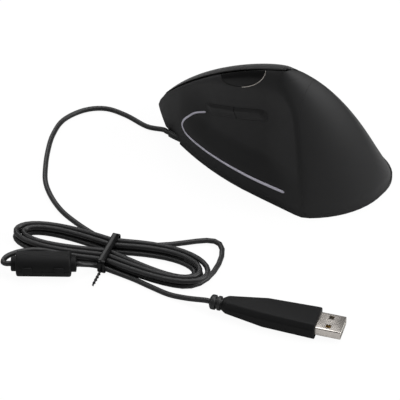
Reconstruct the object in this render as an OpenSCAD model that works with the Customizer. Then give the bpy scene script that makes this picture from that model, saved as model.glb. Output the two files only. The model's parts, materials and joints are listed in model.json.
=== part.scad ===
// Wired vertical mouse for the right hand, with its cord wound into a tied hank.
// Millimetres. X points to the finger side, Y to the nose and Z up from the desk.

/* [Body] */
// Length of the body from heel to nose
body_l = 124.5; // [120:0.5:128]
// Width of the body across its base
body_w = 68; // [66:0.5:70]
// Height of the ridge above the desk
body_h = 74.8; // [73.8:0.5:76.8]
// Level thickness of the moulded walls
wall = 2.4; // [2:0.1:2.6]
// Distance of the ridge's peak from the heel
peak_back = 42; // [40:0.5:44]
// Distance of the ridge's peak from the thumb edge
ridge_in = 11; // [10.5:0.25:12]
// Distance of the nose tip from the thumb edge
nose_in = 20; // [19:0.5:22]
// Height of the upright part of the nose
nose_h = 13.5; // [12.5:0.5:15.5]
// How far the nose is tucked back at the desk
nose_tuck = 9; // [8:0.5:10]
// How far the tucked nose draws in to the thumb side
nose_draw = 5; // [4:0.5:6]
// Height of the upright part of the heel
heel_h = 8; // [6:0.5:10]
// Spread of the base lip on the finger side
flare = 4; // [3:0.5:5]
// Inward lean of the thumb wall from base to ridge
lean = 7; // [6.5:0.25:7.5]
// Depth of the thumb scoop
scoop_d = 5; // [4:0.25:6]
// Thickness of the base plate
base_t = 2.2; // [2:0.1:2.6]
// Height of the glide feet below the base plate
foot_h = 0.4; // [0.3:0.1:0.6]
// Gap at the seams of pieces that move
seam = 0.8; // [0.7:0.05:0.9]
// Gap at the seams of fixed covers
joint_line = 0.2; // [0.1:0.05:0.3]

/* [Buttons] */
// Length of one thumb key
key_l = 20; // [18:0.2:20.6]
// Height of one thumb key
key_h = 6; // [5:0.25:6.5]
// How far the thumb keys stand out of the scoop
key_proud = 0.7; // [0.4:0.1:1]
// Travel of the thumb keys and of the half-moon key
key_travel = 0.6; // [0.4:0.1:0.7]
// Width of the half-moon key along its flat edge
moon_w = 30; // [27:0.5:31]
// Height of the half-moon key
moon_h = 6.6; // [6:0.1:7]
// Width of the accent strip
strip_w = 1.5; // [1.2:0.1:1.8]
// Height of the accent strip above the desk
strip_z = 10; // [9:0.25:11]
// Distance from the ridge down to the edge of the main key on the thumb side
ridge_wrap = 1; // [0.75:0.25:1.5]
// Reach of the main keys behind the wheel
main_back = 35.5; // [34:0.5:38]
// Reach of the second main key below the wheel
main_low = 15; // [13:0.5:17]
// Press angle of the main keys in degrees
main_press = 0.4; // [0.3:0.05:0.5]

/* [Wheel] */
// Height on the finger face at which the wheel sits
wheel_z = 32; // [30:0.5:34]
// Place of the wheel along the body
wheel_y = 26; // [24:0.5:28]
// Diameter of the wheel over its tyre
wheel_d = 23; // [21:0.5:24]
// Width of the tyre
tyre_w = 7; // [6:0.25:7.5]
// Thickness of the tyre
tyre_t = 2.6; // [2:0.1:3]
// How far the wheel stands out of the keys
wheel_out = 3; // [2:0.25:4]
// Diameter of the wheel's axle
axle_d = 2.6; // [2:0.1:3]
// Running clearance on axles and pins, per side
run = 0.05; // [0.03:0.01:0.08]

/* [Boards] */
// Thickness of the circuit boards
board_t = 1.6; // [1.2:0.1:1.8]
// Height of the main board above the base plate
board_lift = 4.4; // [4:0.1:5]
// Depth of the button board below the finger face
board_depth = 18.4; // [18:0.1:19]
// Diameter of the window under the motion sensor
window_d = 9; // [7:0.5:10]
// Thread diameter of the case screws
screw_d = 2.6; // [2.2:0.1:3]

/* [Cord] */
// Diameter of the cord
cord_d = 2.6; // [2.3:0.1:2.6]
// Length of the ferrite case without its collars
ferrite_l = 26; // [24:0.5:28]
// Diameter of the ferrite case
ferrite_d = 12.2; // [11:0.2:13]
// Number of turns in the hank
hank_turns = 4.58; // [4.58:1:5.58]
// Half length of the hank's innermost turn
hank_reach = 43.5; // [42:0.5:46]
// Step between turns at the tips of the hank
hank_step = 3.9; // [3.9:0.1:4.4]
// Step between turns at the waist of the hank
waist_step = 3.35; // [3.35:0.05:3.6]
// Rise from one layer of the hank to the next
hank_rise = 3.2; // [3.2:0.1:3.6]

/* [Plug] */
// Width of the plug's metal shell
shell_w = 12; // [11.8:0.1:12.2]
// Height of the plug's metal shell
shell_h = 4.5; // [4.3:0.1:4.7]
// Length of the plug's metal shell that shows
shell_l = 12; // [11:0.25:13]
// Thickness of the shell's sheet metal
shell_t = 0.35; // [0.3:0.05:0.45]
// Length of the plug's moulded grip
grip_l = 46; // [42:0.5:50]
// Width of the grip at the metal shell
grip_w = 17; // [15.5:0.25:18]
// Height of the grip at the metal shell
grip_h = 9; // [8:0.25:10]

/* [Hidden] */

// Colours of the materials
SATIN_BLACK = [0.06, 0.06, 0.065];
GLOSS_BLACK = [0.03, 0.03, 0.035];
RUBBER = [0.09, 0.09, 0.09];
SILVER = [0.78, 0.77, 0.84];
BOARD_GREEN = [0.05, 0.25, 0.12];
CHIP_BLACK = [0.1, 0.1, 0.11];
STEEL = [0.72, 0.72, 0.74];
BRASS = [0.83, 0.66, 0.3];
CLEAR = [0.85, 0.9, 0.95, 0.5];
LAMP_RED = [0.8, 0.15, 0.12];
NATURAL = [0.88, 0.86, 0.8];
FERRITE_GREY = [0.25, 0.25, 0.26];

// Small helpers for blending numbers
function clamp01(t) = max(0, min(1, t));
function mix(a, b, t) = a + (b - a)*t;
function ramp(a, b, v) = let (t = clamp01((v - a)/(b - a))) t*t*(3 - 2*t);
function quarter(t, n) = pow(max(0, 1 - pow(clamp01(t), n)), 1/n);
function soft_max(a, b, r) = let (h = max(0, r - abs(a - b))/r) max(a, b) + h*h*r/4;

// Clearances
pilot = 0.1;
pass = 0.4;
key_fit = 0.25;
strip_fit = 0.05;
foot_fit = 0.1;
press_rest = 0.2;

// Main places of the body
y_rear = -body_l/2;
y_front = body_l/2;
x_left = -body_w/2;
x_right = body_w/2;
y_peak = y_rear + peak_back;
x_peak = x_left + ridge_in;
base_top = foot_h + base_t;
eps = 0.01;
margin = 5;
cut = 90;
thumb_clear = 15;
x_out = x_left - thumb_clear;
ring_n = 64;
level_n = 26;
lining_ring_n = 48;
lining_level_n = 18;

// Fullness of each quarter of the plan outline and of each rising profile
front_full = 1.3;
heel_full = 1.38;
face_full = 1.36;
thumb_full = 1.4;
nose_full = 1.6;
thumb_corner = 2.6;
heel_corner = 1.9;
thumb_spread = 8;
heel_in = 36;
thumb_back = 46;
finger_back = 58;
flare_h = 26;
sweep = 0.0033;
sweep_start = 50;
sweep_fade = 0.6;
edge_soft = 2;
crown_full = 1.5;
lean_full = 1.3;
face_corners = [1.4, 2.5];
face_fall = 1.3;
palm_corners = [2, 3];
palm_fall = 4;
thumb_arc = [60, 300];

// Scoop under the thumb, bounded above by the sloping line of the thumb keys
lip_front_y = y_rear + 87.85;
lip_front_z = 34.4;
lip_rise = 0.37;
scoop_low = 9;
scoop_ramp = 15;
scoop_fade = 4;
scoop_top = 18;
scoop_rear = [20, 50];
scoop_front = [84, 106];
function lip_z(y) = lip_front_z + lip_rise*(lip_front_y - y);
function scoop(y, z) = scoop_d*ramp(scoop_low, scoop_low + scoop_ramp, z)
    *(1 - ramp(lip_z(y) - scoop_fade, lip_z(y) + scoop_top, z))
    *ramp(y_rear + scoop_rear[0], y_rear + scoop_rear[1], y)
    *(1 - ramp(y_rear + scoop_front[0], y_rear + scoop_front[1], y));

// Extreme points of the plan outline at height z, with every side moved in by w
function rise(z, w) = clamp01(z/(body_h - w));
function tuck(z) = pow(max(0, 1 - z/nose_h), nose_full);
function front_y(z, w) = z < nose_h ? y_front - w - nose_tuck*tuck(z)
    : mix(y_peak, y_front - w, quarter((z - nose_h)/(body_h - w - nose_h), front_full));
function rear_y(z, w) = mix(y_peak, y_rear + w, quarter((z - heel_h)/(body_h - w - heel_h), heel_full));
function right_x(z, w) = mix(x_peak, x_right - flare - w, quarter(rise(z, w), face_full))
    + flare*pow(1 - min(1, z/flare_h), 2);
function left_x(z, w) = mix(x_peak, x_left - thumb_spread + w, quarter(rise(z, w), thumb_full));
function front_x(z, w) = mix(x_peak, x_left + nose_in, 1 - rise(z, w)) - nose_draw*tuck(z);
function rear_x(z, w) = mix(x_peak, x_left + heel_in, quarter(rise(z, w), 2));
function left_y(z, w) = mix(y_peak, y_rear + thumb_back, quarter(rise(z, w), crown_full));
function right_y(z, w) = mix(y_peak, y_rear + finger_back, quarter(rise(z, w), crown_full));
function face_corner(z, w) = mix(face_corners[0], face_corners[1], pow(1 - rise(z, w), face_fall));
function palm_corner(z, w) = mix(palm_corners[0], palm_corners[1], pow(1 - rise(z, w), palm_fall));

// Thumb wall as a surface over length and height
function wall_x(y, z, w) = x_left + w + lean*pow(max(0, z)/body_h, lean_full) + scoop(y, z)
    + sweep*(1 - sweep_fade*z/body_h)*pow(max(0, y - y_rear - sweep_start), 2);

// Plan outline made of four superelliptic quarters, cut back by the thumb wall
function bow(a, b, n, q) = [
    a*sign(cos(q))*pow(abs(cos(q)), 2/n),
    b*sign(sin(q))*pow(abs(sin(q)), 2/n)];
function egg(z, w, q) = let (
    fx = front_x(z, w), rx = rear_x(z, w), ly = left_y(z, w), ry = right_y(z, w),
    l = left_x(z, w), r = right_x(z, w), f = front_y(z, w), b = rear_y(z, w))
    q < 90 ? [fx, ry] + bow(r - fx, f - ry, face_corner(z, w), q)
    : q < 180 ? [fx, ly] + bow(fx - l, f - ly, thumb_corner, q)
    : q < 270 ? [rx, ly] + bow(rx - l, ly - b, heel_corner, q)
    : [rx, ry] + bow(r - rx, ry - b, palm_corner(z, w), q);
function skin(z, w, q) = let (p = egg(z, w, q), thumb = q > thumb_arc[0] && q < thumb_arc[1])
    [thumb ? soft_max(p[0], wall_x(p[1], z, w), edge_soft) : p[0], p[1], z];

// Finger face as a surface over length and height, and the frame that the wheel sits in
function face_x(y, z) = let (ry = right_y(z, 0), r = right_x(z, 0))
    y > ry ? mix(front_x(z, 0), r, quarter((y - ry)/(front_y(z, 0) - ry), face_corner(z, 0)))
    : mix(rear_x(z, 0), r, quarter((ry - y)/(ry - rear_y(z, 0)), palm_corner(z, 0)));
probe = 0.5;
face_slope = [1,
    -(face_x(wheel_y + probe, wheel_z) - face_x(wheel_y - probe, wheel_z))/(2*probe),
    -(face_x(wheel_y, wheel_z + probe) - face_x(wheel_y, wheel_z - probe))/(2*probe)];
face_dir = face_slope/norm(face_slope);
face_turn = atan2(face_dir[1], face_dir[0]);
face_tilt = acos(face_dir[2]);
face_at = [face_x(wheel_y, wheel_z), wheel_y, wheel_z];

// Height of the ridge over the length of the body
function ridge_z(y) = y > y_peak
    ? nose_h + (body_h - nose_h)*quarter((y - y_peak)/(y_front - y_peak), front_full)
    : heel_h + (body_h - heel_h)*quarter((y_peak - y)/(y_peak - y_rear), heel_full);

// Local frame on the finger face: x downhill, y forward along the face, z outward
module on_face() {
    translate(face_at) rotate([0, face_tilt, face_turn]) children();
}

// Flat outlines drawn in the length and height plane, drawn out across the body
module along_x(x0, x1) {
    translate([x0, 0, 0]) rotate([90, 0, 90]) linear_extrude(x1 - x0) children();
}

// Flat outlines drawn in the width and height plane, drawn out along the body
module along_y(y0, y1) {
    translate([0, y1, 0]) rotate([90, 0, 0]) linear_extrude(y1 - y0) children();
}

// One closed mesh from everything inside
module one_mesh() {
    resize([0, 0, 0]) children();
}

module round_rect(l, h, r) {
    offset(r = r, $fn = 32) square([l - 2*r, h - 2*r], center = true);
}

// Box with upright round corners, centred in plan
module slab(l, w, h, r) {
    linear_extrude(h) hull() for (sx = [-1, 1]) for (sy = [-1, 1])
        translate([sx*(l/2 - r), sy*(w/2 - r)]) circle(r, $fn = 32);
}

// Loft of the body form, w inside its outer skin, from z0 to the peak
module form(w, z0, nq, nz) {
    top = body_h - w;
    heights = [for (i = [0:nz - 1]) z0 + (top - z0)*sin(90*i/nz)];
    points = concat([for (z = heights) for (k = [0:nq - 1]) skin(z, w, 360*k/nq)],
        [[x_peak, y_peak, top]]);
    floor_face = [[for (k = [0:nq - 1]) k]];
    sides = [for (i = [0:nz - 2]) for (k = [0:nq - 1])
        let (a = i*nq + k, b = i*nq + (k + 1)%nq)
        each [[a, a + nq, b], [b, a + nq, b + nq]]];
    crown = [for (k = [0:nq - 1]) [(nz - 1)*nq + k, nz*nq, (nz - 1)*nq + (k + 1)%nq]];
    polyhedron(points, concat(floor_face, sides, crown));
}

module outer_form() {
    form(0, base_top, ring_n, level_n);
}

module inner_form() {
    form(wall, base_top - margin/2, lining_ring_n, lining_level_n);
}

module shell() {
    difference() {
        outer_form();
        inner_form();
    }
}

// Layer of the thumb wall between two level depths
module thumb_layer(d0, d1) {
    difference() {
        translate([d0, 0, 0]) form(0, base_top, ring_n, level_n);
        translate([d1, 0, 0]) form(0, base_top - margin/2, ring_n, level_n);
    }
}

// Region of the thumb cover, between the base, the nose, the ridge seam and the heel crease
nose_cut = nose_h - ridge_wrap;
crease = [[19.5, 0], [23, 20], [27, 40], [29.8, 55], [31.5, 70]];
crease_end = 33;
crease_top = y_rear + crease_end;
seam_steps = 20;
thumb_outline = concat(
    [for (p = crease) [y_rear + p[0], p[1]]],
    [for (i = [0:seam_steps]) let (y = mix(crease_top, y_front, i/seam_steps))
        [y, ridge_z(y) - ridge_wrap]],
    [[y_front + margin, nose_cut], [y_front + margin, 0]]);
split_line = concat([[x_out, 0]],
    [for (i = [0:seam_steps]) let (z = body_h*i/seam_steps) [front_x(z, 0), z]],
    [[x_out, body_h]]);

module thumb_side(grow) {
    intersection() {
        along_x(x_out, x_right) offset(delta = grow) polygon(thumb_outline);
        along_y(y_rear - margin, y_front + margin) offset(delta = grow) polygon(split_line);
    }
}

// Block on the finger face that holds the keys between two lines beside the wheel
module face_block(x0, x1, back, low) {
    intersection() {
        on_face() translate([x0, -back, -cut/2]) cube([x1 - x0, back + cut, cut]);
        translate([-cut, -cut, low]) cube([2*cut, 2*cut, cut]);
    }
}

// Base plate
post_d = 5;
lip_t = 1.2;
lip_h = 2;
lip_gap = 0.5;
foot_sink = 0.3;
foot_r = 3;
foot_spots = [[x_left + 28, y_front - 24.25, 26, 7], [x_left + 38, y_rear + 10.25, 30, 7],
    [x_left + 7, y_rear + 54.25, 7, 26], [x_right - 9, y_rear + 54.25, 7, 26]];
screw_spots = [[x_left + 8, y_rear + 80.25], [x_right - 13, y_rear + 92.25],
    [x_left + 5.4, y_rear + 29.25], [x_right - 9.5, y_rear + 32.25]];
boss_d = 6.4;
screw_head_d = 5;
screw_head_h = 1.3;
screw_l = 9;
screw_slot = [3, 0.6, 0.8];
head_gap = 0.1;
lip_gate = 32;
boss_gate = 1;
function outline(z, w) = [for (k = [0:ring_n - 1]) let (p = skin(z, w, 360*k/ring_n)) [p[0], p[1]]];

// Outline that stays w inside the skin over the whole height of the lip
module lip_outline(w) {
    intersection() {
        polygon(outline(base_top, w));
        polygon(outline(base_top + lip_h, w));
    }
}

// Main board, set to the heel side of the button board's frame
boss_clear = 0.8;
main_left = x_left + 16;
main_right = screw_spots[3][0] - boss_d/2 - boss_clear;
main_l = main_right - main_left;
main_w = 38;
main_at = [(main_left + main_right)/2, y_rear + 35.25];
main_z = base_top + board_lift;
main_posts = [[5 - main_l/2, -14], [main_l/2 - 3, 14.5]];
sensor_at = main_at + [2.75, 7];

module base_plate() {
    color(SATIN_BLACK) difference() {
        union() {
            translate([0, 0, foot_h]) linear_extrude(base_t) polygon(outline(foot_h, 0));
            translate([0, 0, base_top]) linear_extrude(lip_h) difference() {
                lip_outline(wall + lip_gap);
                lip_outline(wall + lip_gap + lip_t);
                translate([exit_x, exit_y]) square(lip_gate, center = true);
                for (p = screw_spots) translate(p) circle(d = boss_d + boss_gate, $fn = 48);
            }
            for (p = main_posts) translate([main_at[0] + p[0], main_at[1] + p[1], base_top - eps])
                cylinder(d = post_d, h = board_lift + eps, $fn = 48);
        }
        translate([sensor_at[0], sensor_at[1], -eps]) cylinder(d = window_d, h = base_top + 1, $fn = 64);
        for (p = screw_spots) translate([p[0], p[1], 0]) {
            translate([0, 0, -eps]) cylinder(d = screw_d + pass, h = base_top + 1, $fn = 48);
            translate([0, 0, -eps])
                cylinder(d = screw_head_d + pass, h = foot_h + screw_head_h + eps, $fn = 48);
        }
        for (p = main_posts) translate([main_at[0] + p[0], main_at[1] + p[1], base_top - head_gap])
            cylinder(d = board_screw_d + pilot, h = board_lift + 1, $fn = 48);
        exit_notch();
        for (s = foot_spots) translate([s[0], s[1], 0])
            slab(s[2] + 2*foot_fit, s[3] + 2*foot_fit, foot_h + foot_sink, foot_r + foot_fit);
    }
}

module glide_feet() {
    color(NATURAL) for (s = foot_spots) translate([s[0], s[1], 0])
        slab(s[2], s[3], foot_h + foot_sink, foot_r);
}

module case_screw() {
    translate([0, 0, foot_h + head_gap]) cylinder(d = screw_head_d, h = screw_head_h - head_gap, $fn = 48);
    translate([0, 0, foot_h + screw_head_h - eps]) cylinder(d = screw_d, h = screw_l, $fn = 48);
}

module case_screws() {
    color(STEEL) for (p = screw_spots) translate([p[0], p[1], 0]) difference() {
        case_screw();
        for (a = [0, 90]) rotate(a) translate([-screw_slot[0]/2, -screw_slot[1]/2, 0])
            cube([screw_slot[0], screw_slot[1], foot_h + screw_slot[2]]);
    }
}

// Boss that takes a case screw, from the base plate up into a cover
boss_h = 14;
module screw_boss(p) {
    translate([p[0], p[1], base_top]) cylinder(d = boss_d, h = boss_h, $fn = 24);
}

module screw_bore(p) {
    translate([p[0], p[1], base_top - 1]) cylinder(d = screw_d + pilot, h = screw_l + 1, $fn = 24);
}

// Thumb keys lie side by side under the sloping lip of the scoop
key_under = 0.6;
key_drop = key_h/2 + key_under;
key_gap = 1;
key_r = 2.2;
key_slope = atan(lip_rise);
key_mid = lip_front_y - (key_l + key_gap/2)*cos(key_slope);
key_flange = 1.2;
key_back = 0.1;
key_deep = wall + key_back;
key_flange_t = 1.2;
key_stem_d = 3;
moon_y = y_peak + 22.25;
moon_r = 0.8;
moon_proud = 0.2;
moon_flange = 1;
moon_stem_d = 3;

module key_window(side, grow) {
    translate([key_mid, lip_z(key_mid) - key_drop]) rotate(-key_slope)
        translate([side*(key_l + key_gap)/2, 0]) offset(delta = grow) round_rect(key_l, key_h, key_r);
}

// Everything on one key's side of the middle between the two keys
module key_half(side) {
    translate([key_mid, lip_z(key_mid) - key_drop]) rotate(-key_slope)
        translate([side*(key_l + key_fit), 0]) square([2*key_l, 2*key_l], center = true);
}

// Half moon hung from the seam that runs along the ridge
moon_slope = atan((ridge_z(moon_y + moon_w/2) - ridge_z(moon_y - moon_w/2))/moon_w);
moon_edge_z = ridge_z(moon_y) - ridge_wrap - seam/2;
module moon_window(grow) {
    intersection() {
        offset(delta = grow) offset(r = moon_r, $fn = 16) offset(delta = -moon_r) intersection() {
            translate([moon_y, moon_edge_z]) rotate(moon_slope)
                scale([moon_w/2, moon_h]) circle(1, $fn = 48);
            offset(delta = -seam/2) polygon(thumb_outline);
        }
        offset(delta = min(grow, key_fit) - seam/2) polygon(thumb_outline);
    }
}

// Accent strip: along the foot of the scoop, round its front and back toward the keys
strip_depth = 0.9;
strip_proud = 0.25;
strip_route = [[32, 0.6], [46, 0], [59, 0], [73, 0], [86, 0], [95, 0.4], [99.5, 1.3], [102, 3.4],
    [102.3, 5.7], [101, 8.6], [98.5, 11.6], [94.5, 15.4], [88.3, 18.4]];
strip_path = [for (p = spline(strip_route, 2)) [y_rear + p[0], strip_z + p[1]]];
function heading(p, i) = let (a = p[max(0, i - 1)], b = p[min(len(p) - 1, i + 1)]) (b - a)/norm(b - a);
function beside(p, i, d) = p[i] + d*[-heading(p, i)[1], heading(p, i)[0]];
module strip_outline(w) {
    n = len(strip_path) - 1;
    polygon(concat([for (i = [0:n]) beside(strip_path, i, w/2)],
        [for (i = [n:-1:0]) beside(strip_path, i, -w/2)]));
}

// Cord exit at the tucked tip of the nose
exit_in = 12;
exit_back = 4.5;
exit_x = x_left + exit_in;
exit_y = y_front - nose_tuck - exit_back;
grommet_d = 4.2;
exit_z = foot_h + grommet_d/2 + head_gap;
grommet_out = 1.5;
grommet_in = 6;
grommet_lip = 0.7;
notch_in = 11;

module exit_bore(d) {
    translate([exit_x, exit_y + 2*margin, exit_z]) rotate([90, 0, 0])
        cylinder(d = d, h = 2*margin + grommet_in, $fn = 48);
}

// Channel for the cord behind the grommet
module exit_channel() {
    translate([exit_x, exit_y - grommet_in + eps, exit_z]) rotate([90, 0, 0])
        cylinder(d = cord_d + 2*pass, h = notch_in, $fn = 48);
}

// Notch of the base plate under the cord
module exit_notch() {
    translate([exit_x - grommet_d/2, exit_y - grommet_in - notch_in, -eps])
        cube([grommet_d, grommet_in + notch_in + 2*margin, base_top + lip_h + 1]);
}

// Boards behind the thumb keys, held on short bosses of the thumb cover
thumb_board_x = x_left + 21;
thumb_board_l = 30.4;
thumb_board_z = [-4, 9.2];
thumb_spots = [[-13, 6.9], [13, 6.9]];
dpi_board_x = x_left + 13.4;
dpi_board_t = 1;
dpi_board_l = 22;
dpi_board_z = [-7.7, -2.4];
dpi_tab = [6, 4.7];
dpi_spots = [[-8.6, -5.7], [8.6, -5.7]];
moon_press = 4;
hold_d = 4.4;
hold_reach = 16;
hold_bore = 4;
lining = wall*0.6;
board_screw_d = 1.6;
tact_w = 6;
tact_h = 3.5;
tact_stem_d = 3.4;
tact_stem_h = 1.5;
low_tact_w = 4.2;
low_tact_h = 1.6;
low_stem_h = 0.4;
low_stem_d = 2;

// Flat place on the line of the thumb keys, and on the half moon, in length and height
module at_keys() {
    translate([0, key_mid, lip_z(key_mid) - key_drop]) rotate([-key_slope, 0, 0]) children();
}

module at_moon() {
    translate([0, moon_y, moon_edge_z]) rotate([moon_slope, 0, 0])
        translate([0, 0, -moon_press]) children();
}

module holding_boss(x, spot, d, reach) {
    translate([x - reach, spot[0], spot[1]]) rotate([0, 90, 0]) cylinder(d = d, h = reach, $fn = 24);
}

module thumb_cover() {
    color(SATIN_BLACK) one_mesh() difference() {
        union() {
            intersection() {
                shell();
                thumb_side(-joint_line/2);
            }
            intersection() {
                form(lining, base_top, lining_ring_n, lining_level_n);
                union() {
                    for (i = [0, 2]) screw_boss(screw_spots[i]);
                    at_keys() for (s = thumb_spots) holding_boss(thumb_board_x, s, hold_d, hold_reach);
                    at_moon() for (s = dpi_spots) holding_boss(dpi_board_x, s, hold_d, hold_reach);
                }
            }
        }
        along_x(x_out, 0) for (side = [-1, 1]) key_window(side, key_fit);
        along_x(x_out, 0) for (up = [0, seam/2]) translate([0, up]) moon_window(key_fit);
        intersection() {
            thumb_layer(-1, strip_depth);
            along_x(x_out, 0) strip_outline(strip_w + 2*strip_fit);
        }
        exit_bore(grommet_d + 2*strip_fit);
        exit_channel();
        for (i = [0, 2]) screw_bore(screw_spots[i]);
        at_keys() for (s = thumb_spots)
            holding_boss(thumb_board_x + eps, s, board_screw_d + pilot, hold_bore);
        at_moon() for (s = dpi_spots)
            holding_boss(dpi_board_x + eps, s, board_screw_d + pilot, hold_bore);
    }
}

module accent_strip() {
    color(SILVER) one_mesh() intersection() {
        thumb_layer(-strip_proud, strip_depth);
        along_x(x_out, 0) strip_outline(strip_w);
    }
}

// Space behind the covers' inner face, and a layer of it
module behind_wall() {
    translate([key_back, 0, 0]) inner_form();
}

module flange_layer() {
    difference() {
        behind_wall();
        translate([key_flange_t, 0, 0]) behind_wall();
    }
}

// One thumb key: proud cap, flange behind the wall and a stem to its switch
module thumb_key(side) {
    one_mesh() union() {
        intersection() {
            thumb_layer(-key_proud, key_deep + key_flange_t);
            along_x(x_out, 0) key_window(side, 0);
        }
        intersection() {
            flange_layer();
            along_x(x_out, 0) intersection() {
                key_window(side, key_flange);
                key_half(side);
            }
        }
        intersection() {
            behind_wall();
            at_keys() holding_boss(thumb_board_x - tact_h - tact_stem_h - key_travel - press_rest,
                [side*(key_l + key_gap)/2, 0], key_stem_d, hold_reach);
        }
    }
}

module forward_button() {
    color(SATIN_BLACK) thumb_key(1);
}

module back_button() {
    color(SATIN_BLACK) thumb_key(-1);
}

module dpi_button() {
    color(GLOSS_BLACK) one_mesh() union() {
        intersection() {
            thumb_layer(-moon_proud, key_deep + key_flange_t);
            along_x(x_out, 0) moon_window(0);
            thumb_side(-seam/2);
        }
        intersection() {
            flange_layer();
            along_x(x_out, 0) moon_window(moon_flange);
            thumb_side(-seam/2);
        }
        intersection() {
            behind_wall();
            at_moon() holding_boss(dpi_board_x - low_tact_h - key_travel - press_rest, [0, 0], moon_stem_d,
                hold_reach);
        }
    }
}

// Main keys on the finger face
slot_side = 0.9;
slot_r = 3;
slot_w = tyre_w + 2*slot_side;
switch_l = 12.8;
switch_w = 5.8;
switch_h = 6.5;
plunger_h = 0.7;
plunger_d = 1.6;
switch_y = 13;
switch_x = 8.4;
press_gap = (main_back + switch_y)*sin(main_press) + press_rest;
post_w = 3;

module main_key(x0, x1, post_x) {
    one_mesh() difference() {
        union() {
            intersection() {
                shell();
                face_block(x0, x1, main_back - seam/2, nose_cut + seam/2);
            }
            intersection() {
                form(lining, base_top, lining_ring_n, lining_level_n);
                on_face() translate([post_x, switch_y, -board_depth + switch_h + plunger_h + press_gap])
                    cylinder(d = post_w, h = board_depth, $fn = 24);
            }
        }
        thumb_side(seam/2);
        on_face() translate([0, 0, -cut/2]) linear_extrude(cut) round_rect(slot_w, 2*slot_half, slot_r);
    }
}

module left_button() {
    color(SATIN_BLACK) main_key(-cut, -seam/2, -switch_x);
}

module right_button() {
    color(SATIN_BLACK) main_key(seam/2, main_low - seam/2, switch_x);
}

module palm_cover() {
    color(SATIN_BLACK) one_mesh() difference() {
        union() {
            difference() {
                shell();
                thumb_side(joint_line/2);
                face_block(-cut, main_low + seam/2, main_back + seam/2, nose_cut - seam/2);
            }
            intersection() {
                form(lining, base_top, lining_ring_n, lining_level_n);
                for (i = [1, 3]) screw_boss(screw_spots[i]);
            }
        }
        exit_bore(grommet_d + 2*strip_fit);
        for (i = [1, 3]) screw_bore(screw_spots[i]);
    }
}

// Scroll wheel, with a slotted web that chops the light beam
wheel_r = wheel_d/2;
wheel_mid = wheel_out - wheel_r;
slot_half = sqrt(wheel_r*wheel_r - pow(wheel_mid + wall, 2)) + seam;
hub_r = wheel_r - tyre_t;
hub_w = 3;
axle_l = 15;
slot_n = 16;
slot_mid_r = 6;
slot_size = [2.6, 1];
rim_t = 1;
axle_boss = 1.2;
rib_n = 30;
rib_d = 0.9;
tyre_bevel = 1;

module wheel_hub() {
    color(SATIN_BLACK) on_face() translate([0, 0, wheel_mid]) rotate([0, 90, 0]) difference() {
        union() {
            translate([0, 0, -hub_w/2]) cylinder(r = hub_r, h = hub_w, $fn = 96);
            translate([0, 0, -tyre_w/2]) difference() {
                cylinder(r = hub_r, h = tyre_w, $fn = 96);
                translate([0, 0, -1]) cylinder(r = hub_r - rim_t, h = tyre_w + 2, $fn = 96);
            }
            translate([0, 0, -tyre_w/2]) cylinder(d = axle_d + 2*axle_boss, h = tyre_w, $fn = 48);
            translate([0, 0, -axle_l/2]) cylinder(d = axle_d, h = axle_l, $fn = 48);
        }
        for (i = [0:slot_n - 1]) rotate(360*i/slot_n) translate([slot_mid_r, 0, 0])
            cube([slot_size[0], slot_size[1], hub_w + 2], center = true);
    }
}

module wheel_tyre() {
    color(RUBBER) on_face() translate([0, 0, wheel_mid]) rotate([0, 90, 0]) difference() {
        rotate_extrude($fn = 96) translate([hub_r, -tyre_w/2]) polygon([
            [0, 0], [tyre_t - tyre_bevel, 0], [tyre_t, tyre_bevel], [tyre_t, tyre_w - tyre_bevel],
            [tyre_t - tyre_bevel, tyre_w], [0, tyre_w]]);
        for (i = [0:rib_n - 1]) rotate(360*i/rib_n) translate([wheel_r, 0, 0])
            cube([2*rib_d, rib_d, tyre_w + 2], center = true);
    }
}

// Yoke that carries the wheel and tips on a pin behind it
yoke_side = 0.7;
yoke_in = tyre_w/2 + yoke_side;
yoke_t = 1.6;
yoke_h = 4.4;
yoke_front = 14.5;
yoke_back = 17;
yoke_pin_d = 2.4;
yoke_pin_l = 17;
yoke_bar = 2.4;
yoke_foot_gap = 1;
yoke_foot_w = 3;

module wheel_yoke() {
    color(NATURAL) on_face() translate([0, 0, wheel_mid]) {
        difference() {
            union() {
                for (s = [-1, 1]) translate([s*(yoke_in + yoke_t/2), (yoke_front - yoke_back)/2, 0])
                    cube([yoke_t, yoke_front + yoke_back, yoke_h], center = true);
                translate([0, yoke_front - yoke_bar/2 + eps, 0])
                    cube([2*yoke_in + 2*eps, yoke_bar, yoke_h], center = true);
                translate([0, -yoke_back + yoke_bar/2 - eps, 0])
                    cube([2*yoke_in + 2*eps, yoke_bar, yoke_h], center = true);
                translate([-yoke_pin_l/2, -yoke_back, 0]) rotate([0, 90, 0])
                    cylinder(d = yoke_pin_d, h = yoke_pin_l, $fn = 48);
                translate([-yoke_foot_w/2, yoke_front - yoke_bar, yoke_foot_z])
                    cube([yoke_foot_w, yoke_bar, -yoke_foot_z]);
            }
            translate([-axle_l, 0, 0]) rotate([0, 90, 0])
                cylinder(d = axle_d + 2*run, h = 2*axle_l, $fn = 48);
        }
    }
}

// Two posts with bores for the yoke's pin
post_gap = 0.6;
yoke_post_t = 2;
yoke_post_w = 5;
yoke_post_top = 2.6;

module yoke_posts() {
    color(NATURAL) on_face() for (s = [-1, 1]) difference() {
        translate([s*(yoke_in + yoke_t + post_gap + yoke_post_t/2), -yoke_back, 0]) {
            low = -board_depth;
            high = wheel_mid + yoke_post_top;
            translate([-yoke_post_t/2, -yoke_post_w/2, low]) cube([yoke_post_t, yoke_post_w, high - low]);
        }
        translate([-yoke_pin_l, -yoke_back, wheel_mid]) rotate([0, 90, 0])
            cylinder(d = yoke_pin_d + 2*run, h = 2*yoke_pin_l, $fn = 48);
    }
}

// Board under the main keys, parallel to the finger face
button_board_x = [-11.4, 15];
button_board_y = [-23, 24.6];
board_slot = [tyre_w + 1.6, 14];

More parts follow.
